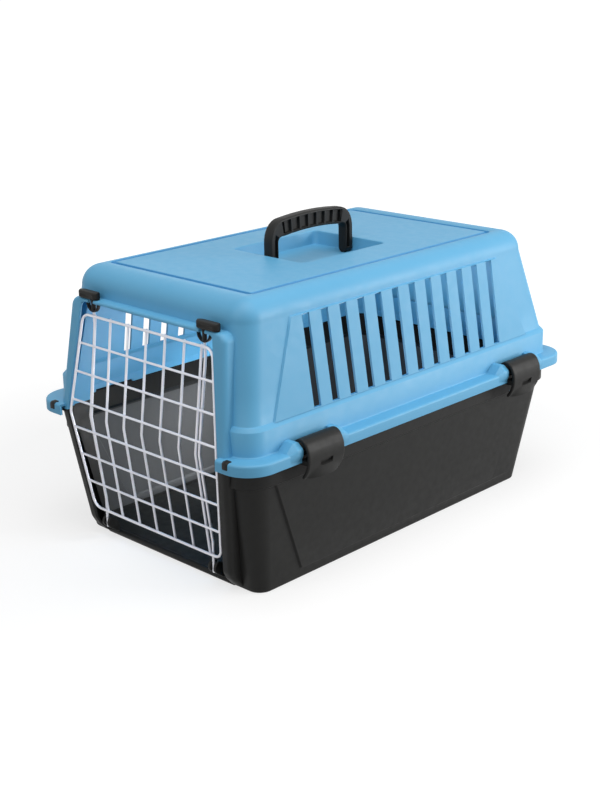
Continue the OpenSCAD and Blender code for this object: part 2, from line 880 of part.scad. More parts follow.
// Outer wire of the door, one closed loop bent across its middle
module door_frame_wire() {
    top_x = frame_w_top - frame_corner;
    low_x = frame_w_low - frame_corner;
    top_z = door_top_z - frame_corner;
    low_z = door_low_z + frame_corner;
    right = concat(corner_points(top_x, top_z, 90, 0), [[frame_w_mid, -door_bend_y, door_bend_z]],
        corner_points(low_x, low_z, 0, -90));
    left = [for (i = [len(right) - 1 : -1 : 0]) [-right[i][0], right[i][1], right[i][2]]];
    color(white) {
        wire(concat(right, left, [right[0]]), frame_wire);
        translate(right[0])
            sphere(frame_wire + knuckle, $fn = wire_fn);
    }
}

// Cross wire of the door, counted from the top
module cross_wire(i) {
    z = cross_z(i);
    y = upright_y(z) - cross_fore;
    half = frame_half(z);
    color(white)
        bar([-half, y, z], [half, y, z], thin_wire);
}

// Upright wire of the door, counted from the left
module upright_wire(i) {
    x = upright_x[i - 1];
    color(white)
        wire([[x, -upright_top_y, door_top_z + thin_wire], [x, -upright_bend_y, door_bend_z],
            [x, -upright_low_y, door_low_z - thin_wire]], thin_wire);
}

// Latch rod with straight ends in line and a bent middle
module latch_rod(x) {
    color(white)
        wire([[x, -rod_y, rod_top_z], [x, -rod_y, stem_low - 1 - rod_bend_drop],
            [x, -rod_bend_y, door_bend_z], [x, -rod_y, door_low_z + rod_bend_run],
            [x, -rod_y, rod_low_z]], rod_r);
}

// Latch tab on the right, with the stem that holds the rod
module latch_tab() {
    end_r = tab_deep / 2;
    mid = rod_x + tab_shift;
    soft = tab_soft;
    color(black)
    difference() {
        union() {
            intersection() {
                translate([0, 0, tab_z])
                    linear_extrude(tab_h)
                        union() {
                            for (s = [-1, 1])
                                translate([mid + s * (tab_len / 2 - end_r), -rod_y])
                                    circle(end_r);
                            translate([mid - tab_len / 2 + end_r, -rod_y - end_r])
                                square([tab_len - 2 * end_r, tab_deep]);
                        }
                translate([mid - tab_len, 0, 0])
                    rotate([90, 0, 90])
                        linear_extrude(2 * tab_len)
                            translate([-rod_y, 0])
                                union() {
                                    translate([-end_r, tab_z])
                                        square([tab_deep, tab_h - soft]);
                                    translate([-end_r + soft, tab_z])
                                        square([tab_deep - 2 * soft, tab_h]);
                                    for (s = [-1, 1])
                                        translate([s * (end_r - soft), tab_z + tab_h - soft])
                                            circle(soft);
                                }
            }
            translate([rod_x, -rod_y, stem_low])
                cylinder(r = stem_r, h = tab_z - stem_low + 1);
        }
        translate([rod_x, -rod_y, stem_low - 1])
            cylinder(r = rod_r + run_fit, h = rod_top_z - stem_low + 1 + rod_gap);
        translate([mid - tab_len / 2 + end_r, -rod_y - end_r - 1, tab_z + tab_line_edge])
            cube([tab_len - 2 * end_r, 1 + tab_line, tab_h - tab_soft - tab_line_edge]);
    }
}

// Curved spring arms of the right latch, joined to the stem
module latch_spring() {
    color(black)
    difference() {
        union() {
            translate([rod_x, -rod_y + arm_deep / 2, arm_z])
                rotate([90, 0, 0])
                    linear_extrude(arm_deep)
                        difference() {
                            circle(arm_r + arm_t / 2);
                            circle(arm_r - arm_t / 2);
                            translate([-2 * arm_r, 0])
                                square(4 * arm_r);
                        }
            translate([rod_x, -rod_y, stem_low])
                cylinder(r = stem_r + collar_t, h = arm_t);
        }
        translate([rod_x, -rod_y, stem_low - 1])
            cylinder(r = stem_r, h = arm_r);
    }
}

// Section of a side clip on the right, from its pivot: barrel, curved face and hook
module clip_section() {
    hook_top = lip_low - hook_gap - clip_z;
    hook_in = rim_half + lip_out + hook_gap - clip_x;
    bend_x = clip_out - clip_bend;
    turn_x = clip_out - clip_turn - clip_drop;
    circle(barrel_r);
    intersection() {
        difference() {
            translate([bend_x, clip_mid])
                circle(clip_bend, $fn = 96);
            translate([bend_x, clip_mid])
                circle(clip_bend - clip_t, $fn = 96);
        }
        translate([0, -clip_foot])
            square([2 * clip_out, clip_foot - clip_drop]);
    }
    intersection() {
        translate([turn_x, -clip_drop])
            circle(clip_turn);
        translate([0, -clip_drop])
            square(2 * clip_out);
    }
    hook_out = clip_out - clip_t / 2;
    polygon([[hook_in, hook_top], [hook_out, hook_top], [hook_out, hook_top - hook_t],
        [hook_in + hook_t / 2, hook_top - hook_t]]);
}

// Thumb rest that stands out from the clip's foot, rounded like a half moon from outside
module thumb_rest() {
    rest_top = rest_h - clip_foot;
    intersection() {
        along(-clip_w / 2, clip_w / 2)
            polygon([[clip_out - clip_t, rest_top], [clip_out - 1, rest_top],
                [clip_out, rest_top - rest_h / 3], [clip_out + rest_out, 1 - clip_foot],
                [clip_out + rest_out - 1, -clip_foot], [clip_out - clip_t, rest_top - rest_h / 2]]);
        translate([0, 0, clip_w / 2 - clip_foot])
            rotate([0, 90, 0])
                cylinder(r = clip_w / 2, h = through);
    }
}

// Side clip on the right at a position along the side
module side_clip(y) {
    window_z = lip_low - hook_gap - clip_z - hook_t;
    peg_end = clip_w / 2 + clip_gap + clip_peg_len;
    color(black)
    translate([clip_x, y, clip_z])
        difference() {
            union() {
                along(-clip_w / 2, clip_w / 2)
                    clip_section();
                thumb_rest();
                translate([0, -peg_end, 0])
                    rotate([-90, 0, 0])
                        cylinder(r = clip_peg_r, h = 2 * peg_end);
            }
            translate([clip_out - 2 * clip_t, -window_w / 2, window_z - window_h / 2])
                cube([through, window_w, window_h]);
        }
}

bottom_tray();
top_cover();
carry_handle();
door_frame_wire();
cross_wire(1);  // cross_wire_1
cross_wire(2);  // cross_wire_2
cross_wire(3);  // cross_wire_3
cross_wire(4);  // cross_wire_4
cross_wire(5);  // cross_wire_5
cross_wire(6);  // cross_wire_6
upright_wire(1);  // upright_wire_1
upright_wire(2);  // upright_wire_2
upright_wire(3);  // upright_wire_3
upright_wire(4);  // upright_wire_4
upright_wire(5);  // upright_wire_5
upright_wire(6);  // upright_wire_6
upright_wire(7);  // upright_wire_7
latch_rod(-rod_x);  // latch_rod_left
latch_rod(rod_x);  // latch_rod_right
mirror([1, 0, 0]) latch_tab();  // latch_tab_left
latch_tab();  // latch_tab_right
mirror([1, 0, 0]) latch_spring();  // latch_spring_left
latch_spring();  // latch_spring_right
side_clip(clip_y[0]);  // clip_front_right
side_clip(clip_y[1]);  // clip_rear_right
mirror([1, 0, 0]) side_clip(clip_y[0]);  // clip_front_left
mirror([1, 0, 0]) side_clip(clip_y[1]);  // clip_rear_left
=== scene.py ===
"""Looks of the pet transport carrier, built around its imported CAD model.

The CAD frame gives every place; this file draws the moulded shells, the coated wires,
the clips, the latches and the handle as smooth surfaces that ride on the frame's bodies."""

import math

import bmesh
import bpy
import numpy as np
from mathutils import Matrix, Vector


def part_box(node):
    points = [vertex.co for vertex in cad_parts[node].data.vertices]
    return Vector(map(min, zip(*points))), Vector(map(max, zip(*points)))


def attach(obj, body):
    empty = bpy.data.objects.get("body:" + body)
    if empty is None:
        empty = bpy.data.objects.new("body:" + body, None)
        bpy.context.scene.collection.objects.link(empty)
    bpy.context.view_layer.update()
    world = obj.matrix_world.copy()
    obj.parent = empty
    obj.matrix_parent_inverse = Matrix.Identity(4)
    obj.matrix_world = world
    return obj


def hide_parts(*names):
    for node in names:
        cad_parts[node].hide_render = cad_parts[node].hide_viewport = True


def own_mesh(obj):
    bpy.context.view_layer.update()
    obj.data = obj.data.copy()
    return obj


bl_info = {
    "name": "Pet transport carrier",
    "version": (1, 0, 0),
    "blender": (4, 5, 0),
    "location": "View3D > Sidebar > Carrier",
    "description": "Dresses the carrier's CAD frame with moulded plastic and coated wire",
    "category": "Object",
}

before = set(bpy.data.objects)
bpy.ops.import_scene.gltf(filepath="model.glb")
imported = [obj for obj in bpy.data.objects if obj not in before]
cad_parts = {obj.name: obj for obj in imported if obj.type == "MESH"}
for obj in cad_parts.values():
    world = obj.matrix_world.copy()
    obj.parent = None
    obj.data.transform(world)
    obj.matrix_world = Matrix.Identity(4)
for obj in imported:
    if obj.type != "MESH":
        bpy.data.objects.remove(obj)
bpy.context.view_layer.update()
MM = 0.001
TINY = 1e-6


def node_box(name):
    """Lowest and highest corners of a CAD node as two arrays in metres."""
    low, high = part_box(name)
    return np.array(low), np.array(high)


def node_middle(name):
    """Middle of a CAD node's box as an array in metres."""
    low, high = node_box(name)
    return (low + high) / 2


def size(name, millimetres, description):
    """A length setting given in millimetres."""
    return bpy.props.FloatProperty(
        name=name, description=description, default=millimetres * MM, unit="LENGTH", precision=5
    )


def hue(name, code, description):
    """A colour setting given as an sRGB hex code."""
    return bpy.props.StringProperty(name=name, description=description, default=code)


class CarrierColours(bpy.types.PropertyGroup):
    """Body colours of the carrier's materials, as sRGB hex codes."""

    blue: hue("Cover blue", "#57A2CB", "Body colour of the cover")
    blue_cloud: hue("Cover clouds", "#60A8CF", "Second colour of the cover's flow clouds")
    # The groove's two colours are painted shade: a deeper blue for the shade that falls in the roof's groove
    groove: hue("Groove blue", "#3E8DC2", "Colour of the roof's groove")
    groove_shade_cloud: hue("Groove clouds", "#4895C8", "Second colour of the roof's groove")
    black: hue("Tray black", "#181817", "Body colour of the tray")
    black_cloud: hue("Tray clouds", "#1E1E1D", "Second colour of the tray's flow clouds")
    # The inside's two colours are partly painted light: a grey lighter than the tray's black stands in for
    # the light the inside catches, while the grain is real
    inside: hue("Tray inside", "#363738", "Colour of the tray's grained inside")
    inside_painted_light_cloud: hue("Inside clouds", "#3E3F40", "Second colour of the tray's inside")
    white: hue("Wire white", "#F3F3F8", "Colour of the wire's coat")
    white_run: hue("Wire runs", "#E6E6EE", "Second colour of the wire's coat")


class CarrierSizes(bpy.types.PropertyGroup):
    """Sizes of the mouldings, taken from the CAD model and matched to the photograph."""

    wall: size("Wall", 2.5, "Thickness of the moulded walls")
    proud: size("Panel height", 2, "How far the side panels stand proud of the walls")
    base_half: size("Underside", 128, "Half width of the flat underside")
    base_front: size("Underside front", 201, "Distance of the underside's front end from the middle")
    base_rear: size("Underside rear", 206, "Distance of the underside's rear end from the middle")
    base_corner: size("Underside corner", 15, "Plan corner radius of the underside")
    base_edge: size("Underside edge", 2.5, "Rounding where the underside turns up")
    side_flare: size("Side flare", 11, "How much each long tray wall leans out")
    front_flare: size("Front flare", 19, "How much the tray's door end leans out")
    rear_flare: size("Rear flare", 31, "How much the tray's closed end leans out")
    rim: size("Rim step", 111, "Height of the step below the rim band")
    rim_slope: size("Rim slope", 3, "Height of the slope below the rim band")
    rim_out: size("Rim band", 5, "How far the rim band stands out from the walls")
    rim_corner: size("Rim corner", 30, "Plan corner radius of the rim band")
    lip_out: size("Lip", 8.5, "How far the tray's lip reaches out from the rim band")
    lip_rear: size("Rear lip", 5, "How far the tray's lip reaches out at the closed end")
    parting: size("Joint", 138.5, "Height of the joint between tray and cover")
    flange_out: size("Flange", 13.5, "Width of the cover's flange outside the rim band")
    flange_rear: size("Rear flange", 10, "Width of the flange at the closed end")
    flange_up: size("Flange top", 5.5, "Height of the flange above the joint")
    skirt_in: size("Skirt", 2, "How far the skirt stands back from the rim band")
    skirt_corner: size("Skirt corner", 22, "Plan corner radius of the skirt")
    crease: size("Crease", 171, "Height of the crease at the top of the skirt")
    crease_in: size("Crease step", 4.5, "How far the walls stand back from the skirt")
    side_lean: size("Side lean", 14.5, "How much each long cover wall leans in")
    front_lean: size("Front lean", 13, "How much the cover's door end leans in")
    rear_lean: size("Rear lean", 20.5, "How much the cover's closed end leans in")
    shoulder: size("Shoulder", 259.5, "Height where the roof shoulder starts")
    shoulder_round: size("Shoulder radius", 21, "Radius of the roof shoulder")
    shoulder_corner: size("Shoulder corner", 22, "Plan corner radius at the shoulder")
    roof_crown: size("Roof panel", 0, "Height of the roof panel above the roof's border")
    ledge: size("Ledge", 253.3, "Height of the ledge over the door")
    ledge_wall: size("Ledge thickness", 3.5, "Thickness of the ledge")
    wire_bend: size("Wire bend", 16, "Bend radius of the door's wires")
    frame_corner: size("Frame corner", 10, "Corner radius of the door's frame")
    slot_width: size("Slot", 9.5, "Width of a vent slot")
    slot_pitch: size("Slot spacing", 25, "Spacing of the vent slots")
    slot_middle: size("Slot row", 6, "Middle of the row of vent slots")
    slot_count: bpy.props.IntProperty(name="Slots", description="Vent slots in each long side", default=12)


def colours():
    """The scene's colour settings."""
    return bpy.context.scene.carrier_colours


def sizes():
    """The scene's size settings."""
    return bpy.context.scene.carrier_sizes


# Places and sizes that the photograph gives, in metres
COVER_PANEL_LOW = np.array([-187, 195]) * MM
COVER_PANEL_HIGH = np.array([-149, 157]) * MM
TRAY_PANEL_LOW = np.array([-147, 153]) * MM
TRAY_PANEL_HIGH = np.array([-188, 190]) * MM
TRAY_PANEL_FOOT = 11 * MM
PANEL_EDGE = 1.3 * MM
RIGHT_CLIPS = ("clip_front_right", "clip_rear_right")
CLIP_PIVOT_X, CLIP_PIVOT_Z = 152 * MM, 148 * MM
CLIP_GAP = 24 * MM
CORNER_MARK = 122.1 * MM
EAR_PLACE = 126.6 * MM
FLANGE_END = 1.5 * MM
DOORWAY = {"low": 93 * MM, "joint": 110 * MM, "top": 94 * MM}
SURROUND = {"chin": 106 * MM, "joint": 121 * MM, "top": 110 * MM, "turn": 10 * MM, "edge": 5 * MM}
FACE = {"foot": -203.5 * MM, "chin": -216.5 * MM, "joint": -232.4 * MM, "top": -218 * MM}
CHIN = 17 * MM
FACE_BACK = -196 * MM
DOORWAY_HIDE = 3 * MM
FLOOR = 4 * MM
ROOF_GROOVE = {"half": 101.6 * MM, "front": -177.2 * MM, "rear": 181.2 * MM, "corner": 7 * MM}
GROOVE_WIDTH = 5.6 * MM
GROOVE_DEPTH = 2.8 * MM
RECESS = {"half": 50 * MM, "front": -56 * MM, "rear": 66 * MM, "corner": 6 * MM}
RECESS_DEPTH = 15.2 * MM
CUT_EDGE_ANGLE = 58

# Columns on a shell's front, and the face columns among them that the doorway leaves open
FRONT_COLUMNS = 12
DOOR_COLUMNS = np.arange(1, FRONT_COLUMNS - 2)

# Points of a bar's section with four marks on each face: those inside the near face and the far one
NEAR_MARKS = slice(1, 3)
FAR_MARKS = slice(13, 15)

# The camera that was fitted to the photograph: angles in degrees, lengths in mm, focal length in pixels
CAMERA_ANGLES = (44.44, 18.63, -1.02)
CAMERA_TARGET = (-12.57, 0, 111.21)
CAMERA_DISTANCE = 1470.03
CAMERA_FOCAL = 1370.51
PHOTO_HEIGHT = 800
SENSOR_HEIGHT = 36


def weld(mesh, closed):
    """Merges points that fall together and, on a closed skin, turns every face outwards."""
    work = bmesh.new()
    work.from_mesh(mesh)
    bmesh.ops.remove_doubles(work, verts=work.verts, dist=0.01 * MM)
    bmesh.ops.dissolve_degenerate(work, edges=work.edges, dist=0.004 * MM)
    if closed:
        bmesh.ops.recalc_face_normals(work, faces=work.faces)
    work.to_mesh(mesh)
    work.free()


def add_piece(name, points, faces, body, material, replaced=(), sharp=40.0, closed=True):
    """Turns points and faces into a finished piece that rides on a body and stands for CAD nodes."""
    mesh = bpy.data.meshes.new(name)
    mesh.from_pydata(points.reshape(-1, 3).tolist(), [], faces)
    weld(mesh, closed)
    mesh.shade_smooth()
    mesh.set_sharp_from_angle(angle=math.radians(sharp))
    mesh.materials.append(material)
    piece = bpy.data.objects.new(name, mesh)
    bpy.context.scene.collection.objects.link(piece)
    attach(piece, body)
    if replaced:
        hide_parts(*replaced)
    return piece


def loft_faces(rows, columns, closed_rows=False, caps=(True, True), first=0, keep=None):
    """Quads between neighbouring rings of a loft, closed round each ring, with a cap on its ends."""
    row = np.arange(rows if closed_rows else rows - 1)[:, None]
    column = np.arange(columns)[None, :]
    here, after = row * columns, (row + 1) % rows * columns
    beside = (column + 1) % columns
    corners = (here + column, here + beside, after + beside, after + column)
    quads = np.stack(np.broadcast_arrays(*corners), axis=-1) + first
    faces = (quads[keep] if keep is not None else quads.reshape(-1, 4)).tolist()
    if caps[0] and not closed_rows:
        faces.append((first + np.arange(columns)[::-1]).tolist())
    if caps[1] and not closed_rows:
        faces.append((first + (rows - 1) * columns + np.arange(columns)).tolist())
    return faces


def add_lofts(name, stacks, body, material, replaced=(), sharp=40.0):
    """Takes several capped lofts together as one finished piece."""
    points = np.concatenate([stack.reshape(-1, 3) for stack in stacks])
    firsts = np.cumsum([0] + [stack.shape[0] * stack.shape[1] for stack in stacks]).tolist()
    faces = []
    for stack, first in zip(stacks, firsts):
        faces += loft_faces(*stack.shape[:2], first=first)
    return add_piece(name, points, faces, body, material, replaced, sharp)


def bend_path(corners, radii, arc_steps=8, closed=False):
    """Path through corner points, each corner turned on an arc of its own radius.

    With a and b the unit directions from a corner to its neighbours and h half the angle between
    them, the arc starts r / tan(h) along a, ends as far along b, and its centre lies r / sin(h)
    along a + b. Points on the chord are pushed out from the centre to the radius."""
    corners = np.asarray(corners, float)
    radii = np.asarray(radii, float)[:, None]
    to_before = np.roll(corners, 1, axis=0) - corners
    to_after = np.roll(corners, -1, axis=0) - corners
    to_before /= np.linalg.norm(to_before, axis=1, keepdims=True)
    to_after /= np.linalg.norm(to_after, axis=1, keepdims=True)
    half_angle = 0.5 * np.arccos(np.clip((to_before * to_after).sum(1, keepdims=True), -0.9999, 0.9999))
    start = corners + to_before * radii / np.tan(half_angle)
    end = corners + to_after * radii / np.tan(half_angle)
    middle = to_before + to_after
    middle /= np.linalg.norm(middle, axis=1, keepdims=True)
    centre = corners + middle * radii / np.sin(half_angle)
    share = np.linspace(0, 1, arc_steps + 1)[None, :, None]
    spoke = start[:, None] * (1 - share) + end[:, None] * share - centre[:, None]
    length = np.maximum(np.linalg.norm(spoke, axis=2, keepdims=True), TINY)
    arcs = centre[:, None] + spoke / length * radii[:, None]
    if closed:
        return arcs.reshape(-1, 3)
    return np.concatenate([corners[:1], arcs[1:-1].reshape(-1, 3), corners[-1:]])


def directions(path, closed=False):
    """Unit direction of a path at each of its points, from the points before and after."""
    ahead = np.roll(path, -1, axis=0) - np.roll(path, 1, axis=0)
    if not closed:
        ahead[0] = path[1] - path[0]
        ahead[-1] = path[-1] - path[-2]
    return ahead / np.linalg.norm(ahead, axis=1, keepdims=True)


def tube_rings(path, radius, across, sides=14, closed=False):
    """Rings of a round wire: a circle carried square to the path.

    With T the path's direction and N the part of a fixed cross direction square to T, a ring is
    P + r (cos(a) N + sin(a) T x N). Open ends are rounded off by rings on a quarter circle."""
    ahead = directions(path, closed)
    radii = np.full(len(path), radius)
    if not closed:
        dome = np.radians([80, 55, 28])
        start = path[0] - ahead[0] * (radius * np.sin(dome))[:, None]
        end = path[-1] + ahead[-1] * (radius * np.sin(dome[::-1]))[:, None]
        path = np.concatenate([start, path, end])
        ahead = np.concatenate([np.repeat(ahead[:1], 3, 0), ahead, np.repeat(ahead[-1:], 3, 0)])
        radii = np.concatenate([radius * np.cos(dome), radii, radius * np.cos(dome[::-1])])
    across = np.asarray(across, float)
    side = across - ahead * (ahead @ across)[:, None]
    side /= np.linalg.norm(side, axis=1, keepdims=True)
    other = np.cross(ahead, side)
    turn = np.linspace(0, 2 * np.pi, sides, endpoint=False)[None, :, None]
    circle = np.cos(turn) * side[:, None] + np.sin(turn) * other[:, None]
    return path[:, None] + circle * radii[:, None, None]


def wire_piece(name, path, radius, across, body, replaced, closed=False):
    """One round coated wire along a path, as a finished piece."""
    rings = tube_rings(path, radius, across, closed=closed)
    faces = loft_faces(*rings.shape[:2], closed_rows=closed)
    return add_piece(name, rings, faces, body, white_wire(), replaced, sharp=70)


def section(width, depth, corner, face_marks=(), arc_steps=3):
    """Rounded rectangle of a bar as (n, 2) points, with extra points on the two wide faces.

    The first coordinate is across the bar and the second through it. The marks are fractions of
    the depth at which the faces at either side carry points of their own."""
    turn = np.linspace(0, np.pi / 2, arc_steps + 1)
    x, y = width / 2 - corner, depth / 2 - corner
    marks = np.asarray(face_marks, float) * depth
    right = np.stack([np.full(len(marks), width / 2), marks], 1)
    quarters = [
        np.stack([sx * x + corner * np.cos(turn + start), sy * y + corner * np.sin(turn + start)], 1)
        for sx, sy, start in ((1, 1, 0), (-1, 1, np.pi / 2), (-1, -1, np.pi), (1, -1, 3 * np.pi / 2))
    ]
    left = right[::-1] * [-1, 1]
    return np.concatenate([right, quarters[0], quarters[1], left, quarters[2], quarters[3]])


def swept_bar(path, across, outlines, swapped=False):
    """Rings of a bar: one outline per station, laid across the path and through it.

    A ring is P + u A + v (T x A), with A the fixed direction across the bar and T the path's own.
    Swapped, u runs through the bar and v across it, for a plate that is wide across."""
    across = np.asarray(across, float)
    through = np.cross(directions(path), across)
    through /= np.linalg.norm(through, axis=1, keepdims=True)
    u, v = outlines[..., :1], outlines[..., 1:]
    if swapped:
        u, v = v, u
    return path[:, None] + u * across + v * through[:, None]


def rounded_rings(outlines, heights, front_marks, side_marks, rear_count=8, arc_steps=13):
    """Rings of a moulded shell: rounded rectangles stacked at heights, all with the same columns.

    An outline row is half width, front end, rear end and corner radius. A ring runs along the
    front, the right side, the rear and the left side, with a quarter circle at each corner.
    The marks are the columns' places on the front and on the sides."""
    half, front, rear, corner = (outlines[:, i : i + 1] for i in range(4))
    turn = np.linspace(0, np.pi / 2, arc_steps + 1)[None, :]
    rise, run = np.sin(turn) * corner, np.cos(turn) * corner
    reach, fore, aft = half - corner, front + corner, rear - corner
    rear_marks = np.linspace(0.95, -0.95, rear_count)[None, :] * reach
    wide = np.ones_like(side_marks) * half
    x = [front_marks, reach + rise, wide, reach + run, rear_marks, -reach - rise, -wide, -reach - run]
    y = [
        np.ones_like(front_marks) * front,
        fore - run,
        side_marks,
        aft + rise,
        np.ones_like(rear_marks) * rear,
        aft + run,
        side_marks[:, ::-1],
        fore - rise,
    ]
    x, y = np.concatenate(x, axis=1), np.concatenate(y, axis=1)
    return np.stack([x, y, np.broadcast_to(heights[:, None], x.shape)], axis=-1)


class ShellColumns:
    """Column numbers of a shell's rings, so that faces can be found by the marks they lie between."""

    def __init__(self, front, side, rear=8, arc=14):
        self.right = front + arc
        self.left = front + side + rear + 3 * arc
        self.side = side
        self.count = 2 * side + front + rear + 4 * arc

    def between(self, first, last):
        """Face columns from one side mark to another, on both long sides."""
        marks = np.arange(first, last)
        return np.concatenate([self.right + marks, self.left + self.side - 2 - marks])

    def at(self, first, last):
        """Point columns from one side mark to another, both counted, on the right and on the left."""
        marks = np.arange(first, last + 1)
        return self.right + marks, self.left + self.side - 1 - marks


def push_panel(points, columns, first, last, reach):
    """Moves the long sides' columns from one mark to another out to a half width given for each row."""
    right, left = columns.at(first, last)
    points[:, right, 0] = np.maximum(points[:, right, 0], reach[:, None])
    points[:, left, 0] = np.minimum(points[:, left, 0], -reach[:, None])


def inset(outline, by):
    """A rounded rectangle taken in by one distance on all sides."""
    half, front, rear, corner = outline
    return np.array([half - by, front + by, rear - by, max(corner - by, 0.5 * MM)])


def between(a, b, share):
    """A value part of the way from one to another."""
    return a + (b - a) * share


def turned_edge(outline, height, radius, start, end, parts, outward=False):
    """Rows on a quarter circle, from a wall to a flat or back, about an edge at a height.

    At the angle a the row is taken in by r (1 - cos a) and lies r (1 - sin a) below the height.
    A hollow edge is the same circle seen from outside."""
    turn = np.radians(np.linspace(start, end, parts + 1))
    steps = [(radius * (1 - math.cos(a)), radius * (1 - math.sin(a))) for a in turn]
    if outward:
        return [(inset(outline, -drop), height + by) for by, drop in steps]
    return [(inset(outline, by), height - drop) for by, drop in steps]


def tray_outlines():
    """Rounded rectangles of the tray: underside, wall top, rim band and lip."""
    s = sizes()
    base = np.array([s.base_half, -s.base_front, s.base_rear, s.base_corner])
    wall = base + [s.side_flare, -s.front_flare, s.rear_flare, 0]
    wall[3] = s.rim_corner - s.rim_out
    rim = inset(wall, -s.rim_out)
    lip = rim + [s.lip_out, -s.lip_out, s.lip_rear, 0]
    return base, wall, rim, lip


def cover_outlines():
    """Rounded rectangles of the cover: flange, skirt, crease and shoulder."""
    s = sizes()
    rim = tray_outlines()[2]
    flange = rim + [s.flange_out, -s.flange_out, s.flange_rear, 0]
    skirt = inset(rim, s.skirt_in)
    skirt[3] = s.skirt_corner
    crease = inset(skirt, s.crease_in)
    top = crease + [-s.side_lean, s.front_lean, -s.rear_lean, 0]
    top[3] = s.shoulder_corner
    return flange, skirt, crease, top


def doorway_half(height):
    """Half width of the doorway at heights, straight from floor to joint and from joint to ledge."""
    s = sizes()
    levels = [FLOOR, s.parting, s.ledge - s.ledge_wall]
    return np.interp(height, levels, [DOORWAY["low"], DOORWAY["joint"], DOORWAY["top"]])


def shell_front_marks(outlines, heights):
    """Places of the columns on a shell's front: by the corners and between the doorway's hidden edges."""
    s = sizes()
    least = 0.4 * MM
    corner = np.minimum(CORNER_MARK, outlines[:, 0] - outlines[:, 3] - least)
    in_flange = np.abs(heights - s.parting) < s.flange_up + TINY
    edge = np.minimum(doorway_half(heights) + DOORWAY_HIDE + FLANGE_END * in_flange, corner - least)
    middle = np.linspace(-1, 1, FRONT_COLUMNS - 2)[None, :] * edge[:, None]
    return np.concatenate([-corner[:, None], middle, corner[:, None]], axis=1)


def thicken(piece):
    """Gives a skin its wall thickness inwards."""
    wall = piece.modifiers.new("wall", "SOLIDIFY")
    wall.thickness = sizes().wall
    wall.offset = -1
    wall.use_quality_normals = True


def part_edges(piece):
    """Keeps the cut edges of a shell crisp, by parting its faces there."""
    edge = piece.modifiers.new("edge", "EDGE_SPLIT")
    edge.split_angle = math.radians(CUT_EDGE_ANGLE)
    edge.use_edge_sharp = False


def round_edges(piece):
    """Puts a fine radius on the cut edges of a plain wall."""
    edge = piece.modifiers.new("edge", "BEVEL")
    edge.width = 0.5 * MM
    edge.segments = 2
    edge.limit_method = "ANGLE"
    edge.angle_limit = math.radians(CUT_EDGE_ANGLE)
    edge.harden_normals = True


def face_centres(mesh):
    """Middles of a mesh's faces as three arrays of X, Y and Z."""
    centres = np.empty(len(mesh.polygons) * 3)
    mesh.polygons.foreach_get("center", centres)
    return centres.reshape(-1, 3).T


def line_tray_with_painted_light(shell):
    """Gives the inside of the tray's walls a lighter grained copy of the black, painted light for the light
    they catch, and leaves its floor as the outside.

    The wall's inner faces take the material one slot after the outer faces' own."""
    mesh = shell.data
    mesh.materials.append(black_plastic())
    mesh.materials.append(grained_painted_light_plastic())
    height = face_centres(mesh)[2]
    # Inner wall faces between floor and rim take the lighter grey, painted light
    painted_light_walls = (height > FLOOR) & (height < sizes().rim)
    mesh.polygons.foreach_set("material_index", painted_light_walls.astype(np.int32))
    shell.modifiers["wall"].material_offset = 1


def tray_shell():
    """The tray's skin from its underside up to its lip, with the doorway left open.

    Rows: flat underside, turned edge, leaning wall, slope, rim band and lip. The long sides carry
    a panel whose columns are pushed out by the panel's height."""
    s = sizes()
    base, wall, rim, lip = tray_outlines()
    lip_low = s.parting - s.wall
    rows = [(inset(base, 30 * MM), 0), (inset(base, s.base_edge), 0)]
    turn = np.radians(np.linspace(0, 90, 5))[1:]
    edge = s.base_edge
    rows += [(inset(base, edge * (1 - math.sin(a))), edge * (1 - math.cos(a))) for a in turn]
    foot = TRAY_PANEL_FOOT
    lift = {foot: 0.3, foot + 0.6 * MM: 0.8, foot + 1.4 * MM: 1, 60 * MM: 1, s.rim - 1 * MM: 1}
    levels = [FLOOR + 1.5 * MM, foot - 0.8 * MM, *lift]
    rows += [(between(base, wall, (z - edge) / (s.rim - edge)), z) for z in levels]
    rows += [(between(wall, rim, k), s.rim + k * s.rim_slope) for k in (0, 0.3, 0.7, 1)]
    rows += [(rim, s.rim + s.rim_slope + 0.8 * MM), (rim, lip_low - 1 * MM), (inset(rim, -1 * MM), lip_low)]
    rows += [(inset(lip, 0.6 * MM), lip_low), (lip, lip_low + 0.6 * MM), (lip, s.parting)]
    outlines, heights = (np.array(part, float) for part in zip(*rows))
    share = np.clip((heights - foot) / (s.rim - foot), 0, 1)[:, None]
    low = np.repeat(TRAY_PANEL_LOW, 2) + np.array([-1, 0, 0, 1]) * PANEL_EDGE
    marks = low + np.repeat(TRAY_PANEL_HIGH - TRAY_PANEL_LOW, 2) * share
    columns = ShellColumns(FRONT_COLUMNS, side=4)
    points = rounded_rings(outlines, heights, shell_front_marks(outlines, heights), marks)
    wall_x = s.base_half + s.side_flare * np.clip(heights - edge, 0, None) / (s.rim - edge)
    raised = np.array([lift.get(z, 0) for z in heights])
    raised[(heights >= s.rim) & (heights <= s.rim + s.rim_slope)] = 1
    push_panel(points, columns, 1, 2, np.where(raised > 0, wall_x + raised * s.proud, 0))
    keep = np.ones((len(rows) - 1, columns.count), bool)
    open_rows = np.arange(len(rows) - 1) >= int(np.argmax(heights > FLOOR))
    keep[np.ix_(open_rows, DOOR_COLUMNS)] = False
    return points, loft_faces(*points.shape[:2], caps=(True, False), keep=keep)


